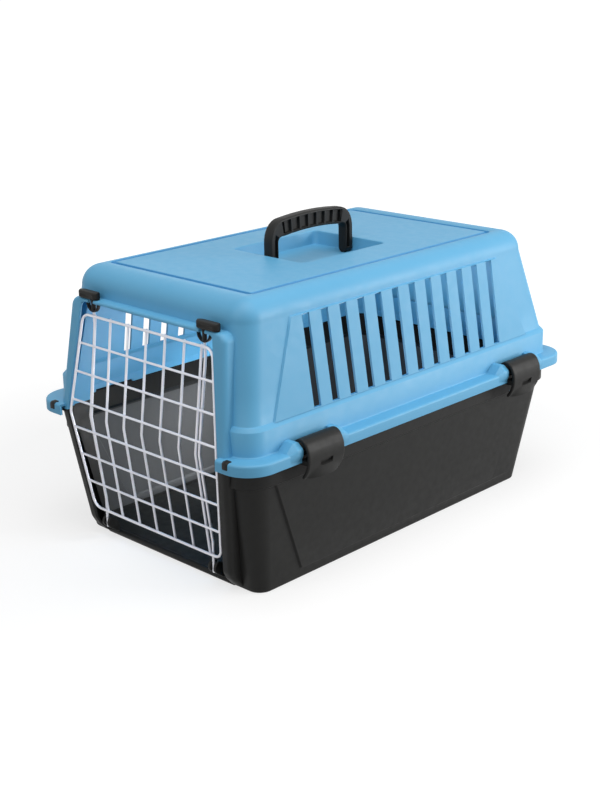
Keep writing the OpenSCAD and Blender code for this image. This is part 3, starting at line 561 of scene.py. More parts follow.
def cover_shell():
    """The cover's skin from its flange's edge up to the floor of the roof recess.

    Rows: flange edge and top, skirt, crease, leaning wall, shoulder on a quarter circle, roof
    border, groove, roof panel and recess. Faces are left out at the vent slots, the doorway
    and the clips' gaps."""
    s = sizes()
    flange, skirt, crease, top = cover_outlines()
    flange_top = s.parting + s.flange_up
    flange_round = 2.5 * MM
    rows = [(flange, s.parting - s.flange_up), (flange, flange_top - flange_round)]
    rows += turned_edge(flange, flange_top, flange_round, 0, 90, 4)[1:]
    rows += [(between(flange, skirt, 0.78), flange_top)]
    gap_row = len(rows) - 1
    rows += turned_edge(skirt, flange_top, 1.5 * MM, 0, 90, 3, outward=True)
    chamfer = [(0, -3.5), (0.15, -3.3), (3.1, -0.25), (3.3, -0.05)]
    rows += [(inset(skirt, by * MM), s.crease + z * MM) for by, z in chamfer]
    rows += [(inset(crease, -0.9 * MM), s.crease), (inset(crease, -0.25 * MM), s.crease + 0.25 * MM)]
    slot_low, slot_high = s.crease + 0.9 * MM, s.shoulder - 0.9 * MM
    door_top = s.ledge - 1.5 * MM
    walls = [slot_low, 200 * MM, 230 * MM, door_top, slot_high, s.shoulder - 0.2 * MM]
    rows += [(between(crease, top, (z - s.crease) / (s.shoulder - s.crease)), z) for z in walls]
    turn = np.radians(np.linspace(0, 90, 13))
    bulge = s.shoulder_round
    rows += [(inset(top, bulge * (1 - math.cos(a))), s.shoulder + bulge * math.sin(a)) for a in turn]
    roof = s.shoulder + bulge
    panel = roof + s.roof_crown
    groove = np.array(list(ROOF_GROOVE.values()))
    into = np.array([-0.3, 0, 0.35, 0.6, 0.95, 1.5]) * MM
    drop = np.array([0, 0.08, 0.4, 0.75, 0.96, 1]) * GROOVE_DEPTH
    rows += [(inset(groove, by), roof - z) for by, z in zip(into, drop)]
    rows += [(inset(groove, GROOVE_WIDTH - by), panel - z) for by, z in zip(into[::-1], drop[::-1])]
    rows += [(inset(groove, GROOVE_WIDTH + 1.5 * MM), panel)]
    recess = np.array(list(RECESS.values()))
    recess_floor = panel - RECESS_DEPTH
    rows += [(inset(recess, -2.8 * MM), panel), (inset(recess, -1.6 * MM), panel)]
    rows += [(inset(recess, -0.5 * MM), panel - 0.45 * MM)]
    rows += [(recess, panel - 1.6 * MM), (recess, recess_floor + 2 * MM)]
    rows += [(inset(recess, 0.6 * MM), recess_floor + 0.6 * MM), (inset(recess, 2 * MM), recess_floor)]
    outlines, heights = (np.array(part, float) for part in zip(*rows))

    slots = s.slot_middle + (np.arange(s.slot_count) - (s.slot_count - 1) / 2) * s.slot_pitch
    edges = np.stack([slots - s.slot_width / 2, slots + s.slot_width / 2], 1).ravel()
    clip_front, clip_rear = (node_middle(clip)[1] for clip in RIGHT_CLIPS)
    ahead = [COVER_PANEL_LOW[0] - PANEL_EDGE, COVER_PANEL_LOW[0], clip_front - CLIP_GAP]
    behind = [clip_rear + CLIP_GAP, COVER_PANEL_LOW[1], COVER_PANEL_LOW[1] + PANEL_EDGE]
    low = np.concatenate([ahead, edges[:2], [clip_front + CLIP_GAP], edges[2:], behind])
    high = low.copy()
    high[:3] = COVER_PANEL_HIGH[0] + np.array([-PANEL_EDGE, 0, 6 * MM])
    high[-3:] = COVER_PANEL_HIGH[1] + np.array([-4 * MM, 0, PANEL_EDGE])
    share = np.clip((heights - s.crease) / (s.shoulder - s.crease), 0, 1)[:, None]
    marks = low + (high - low) * share
    start, end = (outlines[:, 1] + outlines[:, 3])[:, None], (outlines[:, 2] - outlines[:, 3])[:, None]
    spare = 12 * MM
    shrunk = start + (end - start) * (marks - high[0] + spare) / (high[-1] - high[0] + 2 * spare)
    marks = np.where(heights[:, None] > s.shoulder + TINY, shrunk, marks)

    columns = ShellColumns(FRONT_COLUMNS, side=len(low))
    points = rounded_rings(outlines, heights, shell_front_marks(outlines, heights), marks)
    wall_x = crease[0] - s.side_lean * (heights - s.crease) / (s.shoulder - s.crease)
    raised = (heights >= s.crease - TINY) & (heights <= slot_high + TINY)
    push_panel(points, columns, 1, len(low) - 2, np.where(raised, wall_x + s.proud, 0))

    keep = np.ones((len(rows) - 1, columns.count), bool)
    slot_rows = (heights[:-1] >= slot_low - TINY) & (heights[1:] <= slot_high + TINY)
    for place in slots - s.slot_width / 2:
        mark = int(np.argmin(np.abs(low - place)))
        keep[np.ix_(slot_rows, columns.between(mark, mark + 1))] = False
    keep[np.ix_(heights[1:] <= door_top + TINY, DOOR_COLUMNS)] = False
    flange_rows = np.arange(len(rows) - 1) < gap_row
    for first, last in ((2, 5), (len(low) - 5, len(low) - 3)):
        keep[np.ix_(flange_rows, columns.between(first, last))] = False
    return points, loft_faces(*points.shape[:2], caps=(False, True), keep=keep)


def paint_groove_shade(shell):
    """Paints the floor and walls of the roof's groove a deeper blue, painted shade for the shade that falls
    in the groove.
    """
    s = sizes()
    mesh = shell.data
    mesh.materials.append(groove_shade_plastic())
    x, y, z = face_centres(mesh)
    roof = s.shoulder + s.shoulder_round
    sunk = (z > roof - GROOVE_DEPTH - 0.1 * MM) & (z < roof - 0.3 * MM)

    def within(area, clear):
        """Faces inside a rounded rectangle of the roof that is let out by a distance."""
        return (np.abs(x) < area["half"] + clear) & (y > area["front"] - clear) & (y < area["rear"] + clear)

    # Groove faces, away from the recess, take the painted shade
    groove_shade_faces = sunk & within(ROOF_GROOVE, 0) & ~within(RECESS, 10 * MM)
    mesh.polygons.foreach_set("material_index", groove_shade_faces.astype(np.int32))


def cover_lip():
    """The cover's wall below its flange, which closes the joint to the tray from inside."""
    s = sizes()
    skirt = cover_outlines()[1]
    heights = np.array([s.parting + 0.2 * MM, s.parting + s.flange_up + 1 * MM])
    outlines = np.array([inset(skirt, 0.3 * MM)] * 2)
    marks = np.broadcast_to(np.array([-150, 150]) * MM, (2, 2))
    points = rounded_rings(outlines, heights, shell_front_marks(outlines, heights), marks)
    keep = np.ones((1, points.shape[1]), bool)
    keep[:, DOOR_COLUMNS] = False
    return points, loft_faces(*points.shape[:2], caps=(False, False), keep=keep)


def surround_stack(outer, inner, face, back, edge):
    """Rings of a doorway surround: a thick angle section carried along the doorway's outline.

    The outlines give, at each station, the outer and the inner edge in X and Z. The section runs
    from the outer edge at the back to the face, over a quarter circle, across the face to the
    inner edge, and returns one wall thickness inside."""
    wall = sizes().wall
    way = inner - outer
    breadth = np.linalg.norm(way, axis=1, keepdims=True)
    way = way / breadth
    turn = np.radians(np.linspace(0, 90, 5))
    edge = np.minimum(edge, breadth * 0.6)
    steps_in = [np.zeros_like(breadth)] + [edge * (1 - math.cos(a)) for a in turn]
    steps_back = [np.zeros_like(breadth)] + [edge * (1 - math.sin(a)) for a in turn]
    lip = np.minimum(0.8 * MM, breadth * 0.2)
    inside = np.minimum(wall, breadth * 0.9)
    steps_in += [breadth - lip, breadth, breadth, inside, inside]
    steps_back += [0 * lip, lip, 0 * lip + wall, 0 * lip + wall, 0 * lip]
    depth = np.stack(steps_back, 1)[..., 0]
    y = face[:, None] + depth
    y[:, 0] = y[:, -1] = back
    ring = outer[:, None] + way[:, None] * np.stack(steps_in, 1)
    return np.stack([ring[..., 0], y, ring[..., 1]], axis=-1)


def arch(foot_half, top_half, foot, top, turn):
    """Outline of an arch in X and Z: up one leg, across and down the other, its top corners on a radius."""
    corners = [(-foot_half, 0, foot), (-top_half, 0, top), (top_half, 0, top), (foot_half, 0, foot)]
    return bend_path(corners, [1 * MM, turn, turn, 1 * MM], arc_steps=10)[:, [0, 2]]


def cover_surround():
    """The arch over the doorway with the ledge on top, notched for the latch stems."""
    s = sizes()
    foot, top = s.parting, s.ledge
    inner_top = top - s.ledge_wall
    outer = arch(SURROUND["joint"], SURROUND["top"], foot, top, SURROUND["turn"])
    inner = arch(DOORWAY["joint"], DOORWAY["top"], foot, inner_top, 5 * MM)
    stem, rod_y = rod_place()
    cuts = np.array([-3.9, -3.5, 3.5, 3.9]) * MM
    places = np.concatenate([cuts - stem, np.linspace(-60, 60, 7) * MM, cuts + stem])
    split = len(outer) // 2
    outer, inner = (
        np.concatenate([line[:split], np.stack([places, np.full(len(places), z)], 1), line[split:]])
        for line, z in ((outer, top), (inner, inner_top))
    )
    face = np.interp(outer[:, 1], [foot, top], [FACE["joint"], FACE["top"]])
    notch = (np.abs(np.abs(outer[:, 0]) - stem) < 3.6 * MM) & (outer[:, 1] > top - 0.1 * MM)
    face = np.where(notch, rod_y + 3.6 * MM, face)
    return surround_stack(outer, inner, face, FACE_BACK, SURROUND["edge"])


def tray_surround(side):
    """One upright of the tray's doorway, from the floor to the joint.

    Its face runs straight from the chin up to the joint and turns back below the chin. A hump that
    falls off with the square of the distance softens the turn."""
    s = sizes()
    foot, soft = FLOOR - 1 * MM, 6 * MM
    z = np.concatenate([np.linspace(foot, CHIN + soft, 14), np.linspace(30 * MM, s.parting - 0.2 * MM, 12)])
    half = np.interp(z, [CHIN, s.parting], [SURROUND["chin"], SURROUND["joint"]])
    outer = np.stack([side * half, z], 1)
    inner = np.stack([side * doorway_half(z), z], 1)
    face = np.interp(z, [foot, CHIN, s.parting], [FACE["foot"], FACE["chin"], FACE["joint"]])
    face += np.clip(1 - np.abs(z - CHIN) / soft, 0, 1) ** 2 * 1.6 * MM
    return surround_stack(outer, inner, face, FACE_BACK, SURROUND["edge"])


def plate_rings(profile, start, end, soft):
    """Rings of a flat plate across the carrier: a profile in Y and Z between two X places.

    The end rings are the profile drawn in towards its middle by the edge's softness."""
    middle = profile.mean(axis=0)
    spread = np.abs(profile - middle).max()
    small = middle + (profile - middle) * (1 - soft / spread)
    places = np.array([start, start + soft, end - soft, end])
    rings = np.stack([small, profile, profile, small])
    x = np.broadcast_to(places[:, None, None], (4, len(profile), 1))
    return np.concatenate([x, rings], axis=2)


def tray_fittings():
    """The sill bar, the forks that hold the rods' feet and the pegs in the flange's corners."""
    radius = 3.3 * MM
    sill = [(end * DOORWAY["low"], FACE["foot"] + radius, radius + 0.4 * MM) for end in (-1, 1)]
    rings = tube_rings(np.array(sill), radius, (0, 0, 1), sides=28)
    nose = [(-213, 26.4), (-216, 23.6), (-217.4, 20.5), (-217.2, 17.5), (-215.4, 15), (-209.5, 10.5)]
    fork = np.array([(-203.5, 7), (-202.5, 10), (-208, 24.4), (-210, 26.4), *nose]) * MM
    brace = np.array([(-205, 8), (-209, 19), (-211.4, 18.4), (-209.5, 11)]) * MM
    ear = np.array([(6, -1), (6, 6.2), (1.2, 6.2), (-0.5, 4.6), (-0.5, -1)]) * MM
    ear += [cover_outlines()[0][1], sizes().parting]
    rod = rod_place()[0]
    prong = 3.7 * MM
    stacks = []
    for side in (-1, 1):
        for profile, place, half, soft in (
            (fork, side * rod - prong, 1.5 * MM, 0.5 * MM),
            (fork, side * rod + prong, 1.5 * MM, 0.5 * MM),
            (brace, side * rod, 4.6 * MM, 0.3 * MM),
            (ear, side * EAR_PLACE, 3.5 * MM, 0.6 * MM),
        ):
            stacks.append(plate_rings(profile, place - half, place + half, soft))
    add_lofts("tray_forks_and_pegs", stacks, "tray", black_plastic(), sharp=50)
    add_lofts("tray_sill", [rings], "tray", black_plastic(), sharp=60)


def clip_lugs():
    """The lugs beside each clip: a faceted nose with a flat top that ramps down to the flange.

    A ring is an outline in X and Z. Along the ramp it goes from the lug's outline to the flange's own."""
    s = sizes()
    flange, skirt = cover_outlines()[:2]
    edge, root = flange[0], skirt[0] - 1 * MM
    foot = s.parting - 3 * MM
    full = [(-4.6, 8.2), (1.6, 3), (2.3, 1), (2.3, -3.5), (1.4, -6)]
    flush = [(-4.6, -0.1), (-1.8, -0.3), (-0.7, -1.2), (-0.2, -3.5), (-0.1, -6)]
    noses = [np.array(shape) * MM + [edge, s.parting + s.flange_up] for shape in (full, flush)]
    outline, level = (
        np.array([[root, foot], [root, nose[0, 1]], *nose, [edge - 0.3 * MM, foot]]) for nose in noses
    )
    along = np.array([0, 1.4, 7, 7.6, 15.5, 16]) * MM
    rise = np.array([1, 1, 1, 0.95, 0.02, 0])
    middle = outline.mean(axis=0)
    rings = np.repeat(outline[None], len(along), 0)
    rings[0] = middle + (outline - middle) * 0.93
    rings = level + (rings - level) * rise[:, None, None]
    stacks = []
    for clip in RIGHT_CLIPS:
        for end in (-1, 1):
            place = node_middle(clip)[1] + end * (CLIP_GAP + along)
            y = np.broadcast_to(place[:, None], rings.shape[:2])
            stacks += [np.stack([side * rings[..., 0], y, rings[..., 1]], axis=-1) for side in (-1, 1)]
    add_lofts("clip_lugs", stacks, "cover", blue_plastic(), sharp=24)


def rod_place():
    """X and Y of the right latch rod's straight ends, from its tab."""
    return node_middle("latch_rod_right")[0], node_middle("latch_tab_right")[1]


def handle_rings():
    """Rings of the carrying handle: a rounded bar bent into two legs and a crowned grip.

    The bar's depth grows from the legs to the grip along the bends. Points inside a pocket or a
    leg's channel are pushed in from the side faces. The feet end on a half circle."""
    longer, taller, crowned, settled = 2 * MM, 2.4 * MM, 2.4 * MM, 1.8 * MM
    low, high = node_box("carry_handle") + np.array([[0, -longer, 0], [0, longer, taller]])
    breadth, leg, grip = 11.4 * MM, 11 * MM, 17.6 * MM
    bend, peg, edge, channel_depth = 14 * MM, 5 * MM, 1.6 * MM, 3 * MM
    front, rear = low[1] + peg + leg / 2, high[1] - peg - leg / 2
    pivot = low[2] + breadth / 2
    level = high[2] - grip / 2
    middle = (front + rear) / 2
    pocket, pitch, count, sink, chamfer = 10.2 * MM, 12.2 * MM, 7, 2.6 * MM, 0.6 * MM
    centres = middle + (np.arange(count) - (count - 1) / 2) * pitch
    edges = np.array([-pocket / 2, -pocket / 2 + chamfer, pocket / 2 - chamfer, pocket / 2])
    marks = (centres[:, None] + edges).ravel()
    marks = marks[marks < middle]
    foot = np.radians([82, 60, 35, 12])
    foot_z = pivot - breadth / 2 * np.sin(foot)
    leg_z = [pivot - 1 * MM, pivot, pivot + 0.7 * MM, pivot + 6 * MM, level - bend - 1 * MM]
    turn = np.radians(np.linspace(0, 90, 9))
    corner = np.stack([front + bend - bend * np.cos(turn), level - bend + bend * np.sin(turn)], 1)
    upright = np.array([(front, z) for z in (*foot_z, *leg_z)])
    half = np.concatenate([upright, corner, np.stack([marks, np.full(len(marks), level)], 1)])
    path = np.concatenate([half, np.stack([2 * middle - half[::-1, 0], half[::-1, 1]], 1)])
    crown = crowned * np.clip(1 - ((path[:, 0] - middle) / (rear - middle - bend)) ** 2, 0, 1)
    width = np.full(len(path), breadth)
    width[:4] = breadth * np.cos(foot)
    width[-4:] = breadth * np.cos(foot[::-1])
    bent = np.clip((path[:, 1] - (level - bend)) / bend, 0, 1)
    depth = leg + (grip - leg) * bent**2
    on_leg, at_grip = np.array([-0.04, 0.03, 0.33, 0.4]), np.array([-0.37, -0.32, 0.32, 0.37])
    marks_at = on_leg + (at_grip - on_leg) * np.clip(bent * 1.6 - 0.6, 0, 1)[:, None]
    shapes = zip(width, depth, marks_at)
    outlines = np.stack([section(w, d, min(edge, w / 3), m) for w, d, m in shapes])
    on_grip = np.abs(path[:, 1] - level) < TINY
    inside = np.abs((path[:, 0] - centres[0] + pitch / 2) % pitch - pitch / 2) < pocket / 2 - chamfer / 2
    channel = (path[:, 1] > pivot + 0.4 * MM) & (bent < 0.5)
    sunk = np.where(on_grip & inside, sink, 0) + np.where(channel, channel_depth, 0)
    outlines[:, NEAR_MARKS, 0] -= sunk[:, None]
    outlines[:, FAR_MARKS, 0] += sunk[:, None]
    spine = np.stack([np.zeros(len(path)), path[:, 0], path[:, 1] + crown - settled], 1)
    return swept_bar(spine, (1, 0, 0), outlines)


def clip_rings(side, place):
    """Rings of a side clip's curved plate: over the barrel, down the face and out at the thumb rest.

    The plate's middle line follows a small circle over the barrel and a wide one down the face.
    The foot flares out inside a half ellipse, which leaves a half-moon rest for the thumb."""
    width, thick = 47 * MM, 3.4 * MM
    small, wide = 7.6 * MM, 28.3 * MM
    over = np.radians(np.linspace(165, 22, 12))
    down = np.radians(np.linspace(16, -42, 30))
    upper = np.stack([2.4 * MM + small * np.cos(over), -2.6 * MM + small * np.sin(over)], 1)
    lower = np.stack([-15.7 * MM + wide * np.cos(down), -11.5 * MM + wide * np.sin(down)], 1)
    line = np.concatenate([upper, lower])
    half_marks = np.array([0.1, 0.155, 0.17, 0.24, 0.3, 0.36, 0.42, 0.46])
    marks = np.concatenate([-half_marks[::-1], [0], half_marks])
    taper = np.ones(len(line))
    taper[[0, -1]] = 0.55
    outlines = np.stack([section(thick * t, width, 1.1 * MM * t, marks) for t in taper])
    slot_drop, slot_half, slot_depth, slot_reach = 17.4 * MM, 2 * MM, 2.6 * MM, 0.16
    in_slot = np.abs(line[:, 1] + slot_drop) < slot_half
    outlines[:, : len(marks), 0] -= slot_depth * (in_slot[:, None] & (np.abs(marks) < slot_reach))
    spine = np.stack([line[:, 0], np.zeros(len(line)), line[:, 1]], 1)
    rings = swept_bar(spine, (0, 1, 0), outlines, swapped=True)
    rest_height, rest_half, rest_out = 11 * MM, 21 * MM, 6.5 * MM
    drop = np.clip(1 - (rings[..., 2] - line[-1, 1]) / rest_height, 0, 1.1)
    reach = np.clip(1 - (rings[..., 1] / rest_half) ** 2, 0, 1)
    bowl = np.clip(drop + np.sqrt(reach) - 1, 0, 1) * (reach > 0)
    rings[..., 0] += rest_out * bowl**1.4
    return (rings + [CLIP_PIVOT_X, place, CLIP_PIVOT_Z]) * [side, 1, 1]


def clip_inner_rings(side, place):
    """Rings of a clip's barrel and of the hook behind its face, as two stacks."""
    half, shorter = 23.3 * MM, 5 * MM
    barrel_radius, hook_x, hook_z = 6 * MM, 158.6 * MM, 132.7 * MM
    ends = np.array([place - half, place + half])
    barrel = np.array([(side * CLIP_PIVOT_X, y, CLIP_PIVOT_Z) for y in ends + [shorter, -shorter]])
    hook = np.array([(side * hook_x, y, hook_z) for y in ends])
    outline = np.stack([section(4.2 * MM, 11 * MM, 0.8 * MM)] * 2)
    return tube_rings(barrel, barrel_radius, (0, 0, 1), sides=28), swept_bar(hook, (0, 0, 1), outline)


def tab_rings(side):
    """Rings of a latch tab: a bar across the carrier with round ends and a soft top.

    At the angle a on an end of radius r, the ring lies r (1 - sin a) in and is r cos a deep to each side."""
    low, high = node_box("latch_tab_right")
    height, end, edge, groove = 7.5 * MM, 4.5 * MM, 1.9 * MM, 0.8 * MM
    turn = np.radians(np.linspace(82, 8, 8))
    inwards, depth = end * (1 - np.sin(turn)), 2 * end * np.cos(turn)
    near, far = low[0] + end, high[0] - end
    x = np.concatenate([low[0] + inwards, [near + 1 * MM, far - 1 * MM], high[0] - inwards[::-1]])
    depth = np.concatenate([depth, [2 * end, 2 * end], depth[::-1]])
    marks = (-0.3, -0.24, 0.1, 0.16)
    outlines = np.stack([section(d, height, min(edge, d / 2.2), marks) for d in depth])
    grooved = (x > near + 0.5 * MM) & (x < far - 0.5 * MM)
    outlines[:, FAR_MARKS, 0] += groove * grooved[:, None]
    path = np.stack([x, np.full(len(x), rod_place()[1]), np.full(len(x), high[2] - height / 2)], 1)
    return swept_bar(path, (0, 1, 0), outlines) * [side, 1, 1]


def spring_rings(side):
    """Rings of a latch's spring arms: a flat strip on the lower half of a circle, thinner at its tips."""
    low, high = node_box("latch_spring_right")
    rod_x, rod_y = rod_place()
    width, thick, edge = 4 * MM, 1.6 * MM, 0.5 * MM
    radius = (high[0] - low[0]) / 2 - 1.1 * MM
    turn = np.radians(np.linspace(180, 360, 25))
    path = np.stack([rod_x + radius * np.cos(turn), np.full(25, rod_y), high[2] + radius * np.sin(turn)], 1)
    taper = [0.5, 0.9] + [1] * 21 + [0.9, 0.5]
    outlines = np.stack([section(width, thick * k, edge * k) for k in taper])
    return swept_bar(path, (0, 1, 0), outlines) * [side, 1, 1]


def srgb(code):
    """Linear RGBA from an sRGB hex code."""
    part = np.array([int(code[i : i + 2], 16) for i in (1, 3, 5)]) / 255
    linear = np.where(part <= 0.04045, part / 12.92, ((part + 0.055) / 1.055) ** 2.4)
    return (*linear.tolist(), 1.0)


def add_node(tree, kind, settings=None, values=None, links=None):
    """Adds one shader node, sets its properties and sockets, and links other nodes' sockets into it."""
    node = tree.nodes.new(kind)
    for key, value in (settings or {}).items():
        setattr(node, key, value)
    for key, value in (values or {}).items():
        node.inputs[key].default_value = value
    for key, source in (links or {}).items():
        tree.links.new(source, node.inputs[key])
    return node


def patterned(name, tones, cloud_mm, sheen_mm, grain_mm, grain_depth_mm, roughness=0.5, gloss=0.5):
    """A Principled material with a two-colour cloud, an uneven sheen and a fine relief, by real sizes."""
    if name in bpy.data.materials:
        return bpy.data.materials[name]
    material = bpy.data.materials.new(name)
    material.use_nodes = True
    tree = material.node_tree
    shader = tree.nodes["Principled BSDF"]
    shader.inputs["Specular IOR Level"].default_value = gloss
    place = add_node(tree, "ShaderNodeTexCoord").outputs["Object"]
    noises = []
    for mm in (cloud_mm, sheen_mm, grain_mm):
        values = {"Scale": 1 / (mm * MM), "Detail": 3.0}
        noises.append(add_node(tree, "ShaderNodeTexNoise", values=values, links={"Vector": place}))
    clouds, sheen, grain = (noise.outputs["Fac"] for noise in noises)
    body = add_node(
        tree,
        "ShaderNodeMix",
        settings={"data_type": "RGBA"},
        values={6: srgb(tones[0]), 7: srgb(tones[1])},
        links={0: clouds},
    )
    uneven = add_node(
        tree,
        "ShaderNodeMapRange",
        values={"From Min": 0.3, "From Max": 0.7, "To Min": roughness - 0.05, "To Max": roughness + 0.05},
        links={"Value": sheen},
    )
    relief = add_node(
        tree,
        "ShaderNodeBump",
        values={"Strength": 0.6, "Distance": grain_depth_mm * MM},
        links={"Height": grain},
    )
    tree.links.new(body.outputs[2], shader.inputs["Base Color"])
    tree.links.new(uneven.outputs["Result"], shader.inputs["Roughness"])
    tree.links.new(relief.outputs["Normal"], shader.inputs["Normal"])
    return material


def blue_plastic():
    """Light blue polypropylene, injection moulded: satin, even, with faint flow clouds and fine grain.

    The grain of about 0.3 mm is drawn at 1.2 mm so that it shows."""
    tones = colours().blue, colours().blue_cloud
    return patterned("blue_polypropylene", tones, 70, 9, 1.2, 0.05)


def groove_shade_plastic():
    """The cover's plastic in the roof's groove: the same skin in a deeper blue, painted shade for the shade
    that falls in the groove.
    """
    tones = colours().groove, colours().groove_shade_cloud
    return patterned("blue_painted_groove_shade", tones, 30, 9, 1.2, 0.05, gloss=0.4)


def black_plastic():
    """Black polypropylene, injection moulded: satin dark grey in the light, with a grain like the cover's.

    The grain of about 0.3 mm is drawn at 1.2 mm so that it shows."""
    tones = colours().black, colours().black_cloud
    return patterned("black_polypropylene", tones, 60, 8, 1.2, 0.06, gloss=0.2)


def grained_painted_light_plastic():
    """The black polypropylene's eroded inside: dull and coarsely grained, its lighter dark grey painted light
    that stands in for the light the inside catches.

    The grain of about 0.8 mm is drawn at 2 mm so that it shows."""
    tones = colours().inside, colours().inside_painted_light_cloud
    return patterned("grained_black_polypropylene_painted_light", tones, 40, 6, 2, 0.3, roughness=0.6, gloss=0.4)


def white_wire():
    """Steel wire in a thin white lacquer: bright and glossy with a pearly sheen, in slow thick and thin runs.

    The steel below shows through as a part of metal in the gloss."""
    tones = colours().white, colours().white_run
    material = patterned("white_coated_wire", tones, 14, 10, 6, 0.01, roughness=0.4)
    material.node_tree.nodes["Principled BSDF"].inputs["Metallic"].default_value = 0.42
    return material


def background_rays(tree):
    """One for the rays that see the background as white: camera, glossy and transmission rays."""
    rays = add_node(tree, "ShaderNodeLightPath").outputs
    seen = rays["Is Camera Ray"]
    for kind in ("Is Glossy Ray", "Is Transmission Ray"):
        links = {0: seen, 1: rays[kind]}
        seen = add_node(tree, "ShaderNodeMath", settings={"operation": "MAXIMUM"}, links=links).outputs[0]
    return seen


def lamp(name, power, extent, place, target, spread=180):
    """A soft rectangular lamp at a place, turned to a target, with its extent, place and target in mm."""
    light = bpy.data.lights.new(name, "AREA")
    light.shape = "RECTANGLE"
    light.energy = power
    light.size, light.size_y = extent[0] * MM, extent[1] * MM
    light.spread = math.radians(spread)
    piece = bpy.data.objects.new(name, light)
    turn = (Vector(place) - Vector(target)).to_track_quat("Z", "Y").to_matrix().to_4x4()
    piece.matrix_world = Matrix.Translation(Vector(place) * MM) @ turn
    piece.visible_camera = False
    bpy.context.scene.collection.objects.link(piece)


def pale_floor():
    """A wide sheet of pale paper under the carrier.

    The background's rays see it glow nearly white far off, and less round the carrier, so that the
    carrier's shadow stays."""
    reach = 30.0
    corners = [(-reach, -reach, 0), (reach, -reach, 0), (reach, reach, 0), (-reach, reach, 0)]
    mesh = bpy.data.meshes.new("floor")
    mesh.from_pydata(corners, [], [(0, 1, 2, 3)])
    paper = bpy.data.materials.new("white_paper")
    paper.use_nodes = True
    tree = paper.node_tree
    shader = tree.nodes["Principled BSDF"]
    for socket, value in (
        ("Base Color", srgb("#9C9C9C")),
        ("Roughness", 0.9),
        ("Specular IOR Level", 0.0),
        ("Emission Color", (1, 1, 1, 1)),
    ):
        shader.inputs[socket].default_value = value
    place = add_node(tree, "ShaderNodeTexCoord").outputs["Object"]
    away = add_node(tree, "ShaderNodeVectorMath", settings={"operation": "LENGTH"}, links={0: place})
    level = add_node(
        tree,
        "ShaderNodeMapRange",
        values={"From Min": 0.4, "From Max": 1.0, "To Min": 0.7, "To Max": 0.97},
        links={"Value": away.outputs["Value"]},
    )
    glow = add_node(
        tree,
        "ShaderNodeMath",
        settings={"operation": "MULTIPLY"},
        links={0: level.outputs["Result"], 1: background_rays(tree)},
    )
    tree.links.new(glow.outputs["Value"], shader.inputs["Emission Strength"])
    mesh.materials.append(paper)
    floor = bpy.data.objects.new("floor", mesh)
    bpy.context.scene.collection.objects.link(floor)


def studio_world():
    """A dim, even world that the background's rays see as white."""
    world = bpy.data.worlds.new("studio")
    bpy.context.scene.world = world
    world.use_nodes = True
    tree = world.node_tree
    tree.nodes.clear()
    levels = {"To Min": 0.26, "To Max": 1.0}
    level = add_node(tree, "ShaderNodeMapRange", values=levels, links={"Value": background_rays(tree)})
    strength = {"Strength": level.outputs["Result"]}
    sky = add_node(tree, "ShaderNodeBackground", values={"Color": (1, 1, 1, 1)}, links=strength)
    add_node(tree, "ShaderNodeOutputWorld", links={"Surface": sky.outputs["Background"]})


def photo_camera():
    """A camera at the photograph's angle.

    It stands its distance from the target along the azimuth and elevation, and is rolled about that line."""
    azimuth, elevation, roll = (math.radians(angle) for angle in CAMERA_ANGLES)
    level = math.cos(elevation)
    back = Vector((math.sin(azimuth) * level, -math.cos(azimuth) * level, math.sin(elevation)))
    right = Vector((0, 0, 1)).cross(back).normalized()
    up = back.cross(right)
    turned_right = right * math.cos(roll) + up * math.sin(roll)
    turned_up = up * math.cos(roll) - right * math.sin(roll)
    lens = bpy.data.cameras.new("camera")
    lens.sensor_fit = "VERTICAL"
    lens.sensor_height = SENSOR_HEIGHT
    lens.lens = SENSOR_HEIGHT * CAMERA_FOCAL / PHOTO_HEIGHT
    camera = bpy.data.objects.new("camera", lens)
    turn = Matrix((turned_right, turned_up, back)).transposed().to_4x4()
    place = Vector(CAMERA_TARGET) + back * CAMERA_DISTANCE
    camera.matrix_world = Matrix.Translation(place * MM) @ turn
    bpy.context.scene.collection.objects.link(camera)
    bpy.context.scene.camera = camera


class CARRIER_OT_tray(bpy.types.Operator):
    """Draws the tray's shell, its doorway uprights, sill, forks and pegs"""

    bl_idname = "carrier.tray"
    bl_label = "Tray"

    def execute(self, context):
        points, faces = tray_shell()
        shell = add_piece("tray_shell", points, faces, "tray", black_plastic(), ["bottom_tray"], closed=False)
        thicken(shell)
        part_edges(shell)
        # Paints light into the inside of the tray's walls
        line_tray_with_painted_light(shell)
        add_lofts("tray_doorway", [tray_surround(-1), tray_surround(1)], "tray", black_plastic())
        tray_fittings()
        return {"FINISHED"}


class CARRIER_OT_cover(bpy.types.Operator):
    """Draws the cover's shell with its vent slots, the arch over the doorway and the clips' lugs"""

    bl_idname = "carrier.cover"
    bl_label = "Cover"

    def execute(self, context):
        points, faces = cover_shell()
        shell = add_piece("cover_shell", points, faces, "cover", blue_plastic(), ["top_cover"], closed=False)
        # Paints shade into the roof's groove
        paint_groove_shade(shell)
        thicken(shell)
        part_edges(shell)
        points, faces = cover_lip()
        lip = add_piece("cover_lip", points, faces, "cover", blue_plastic(), closed=False)
        thicken(lip)
        round_edges(lip)
        add_lofts("cover_doorway", [cover_surround()], "cover", blue_plastic())
        clip_lugs()
        return {"FINISHED"}


class CARRIER_OT_handle(bpy.types.Operator):
    """Draws the carrying handle with its grip pockets"""

    bl_idname = "carrier.handle"
    bl_label = "Handle"

    def execute(self, context):
        add_lofts("grip_handle", [handle_rings()], "handle", black_plastic(), ["carry_handle"])
        return {"FINISHED"}


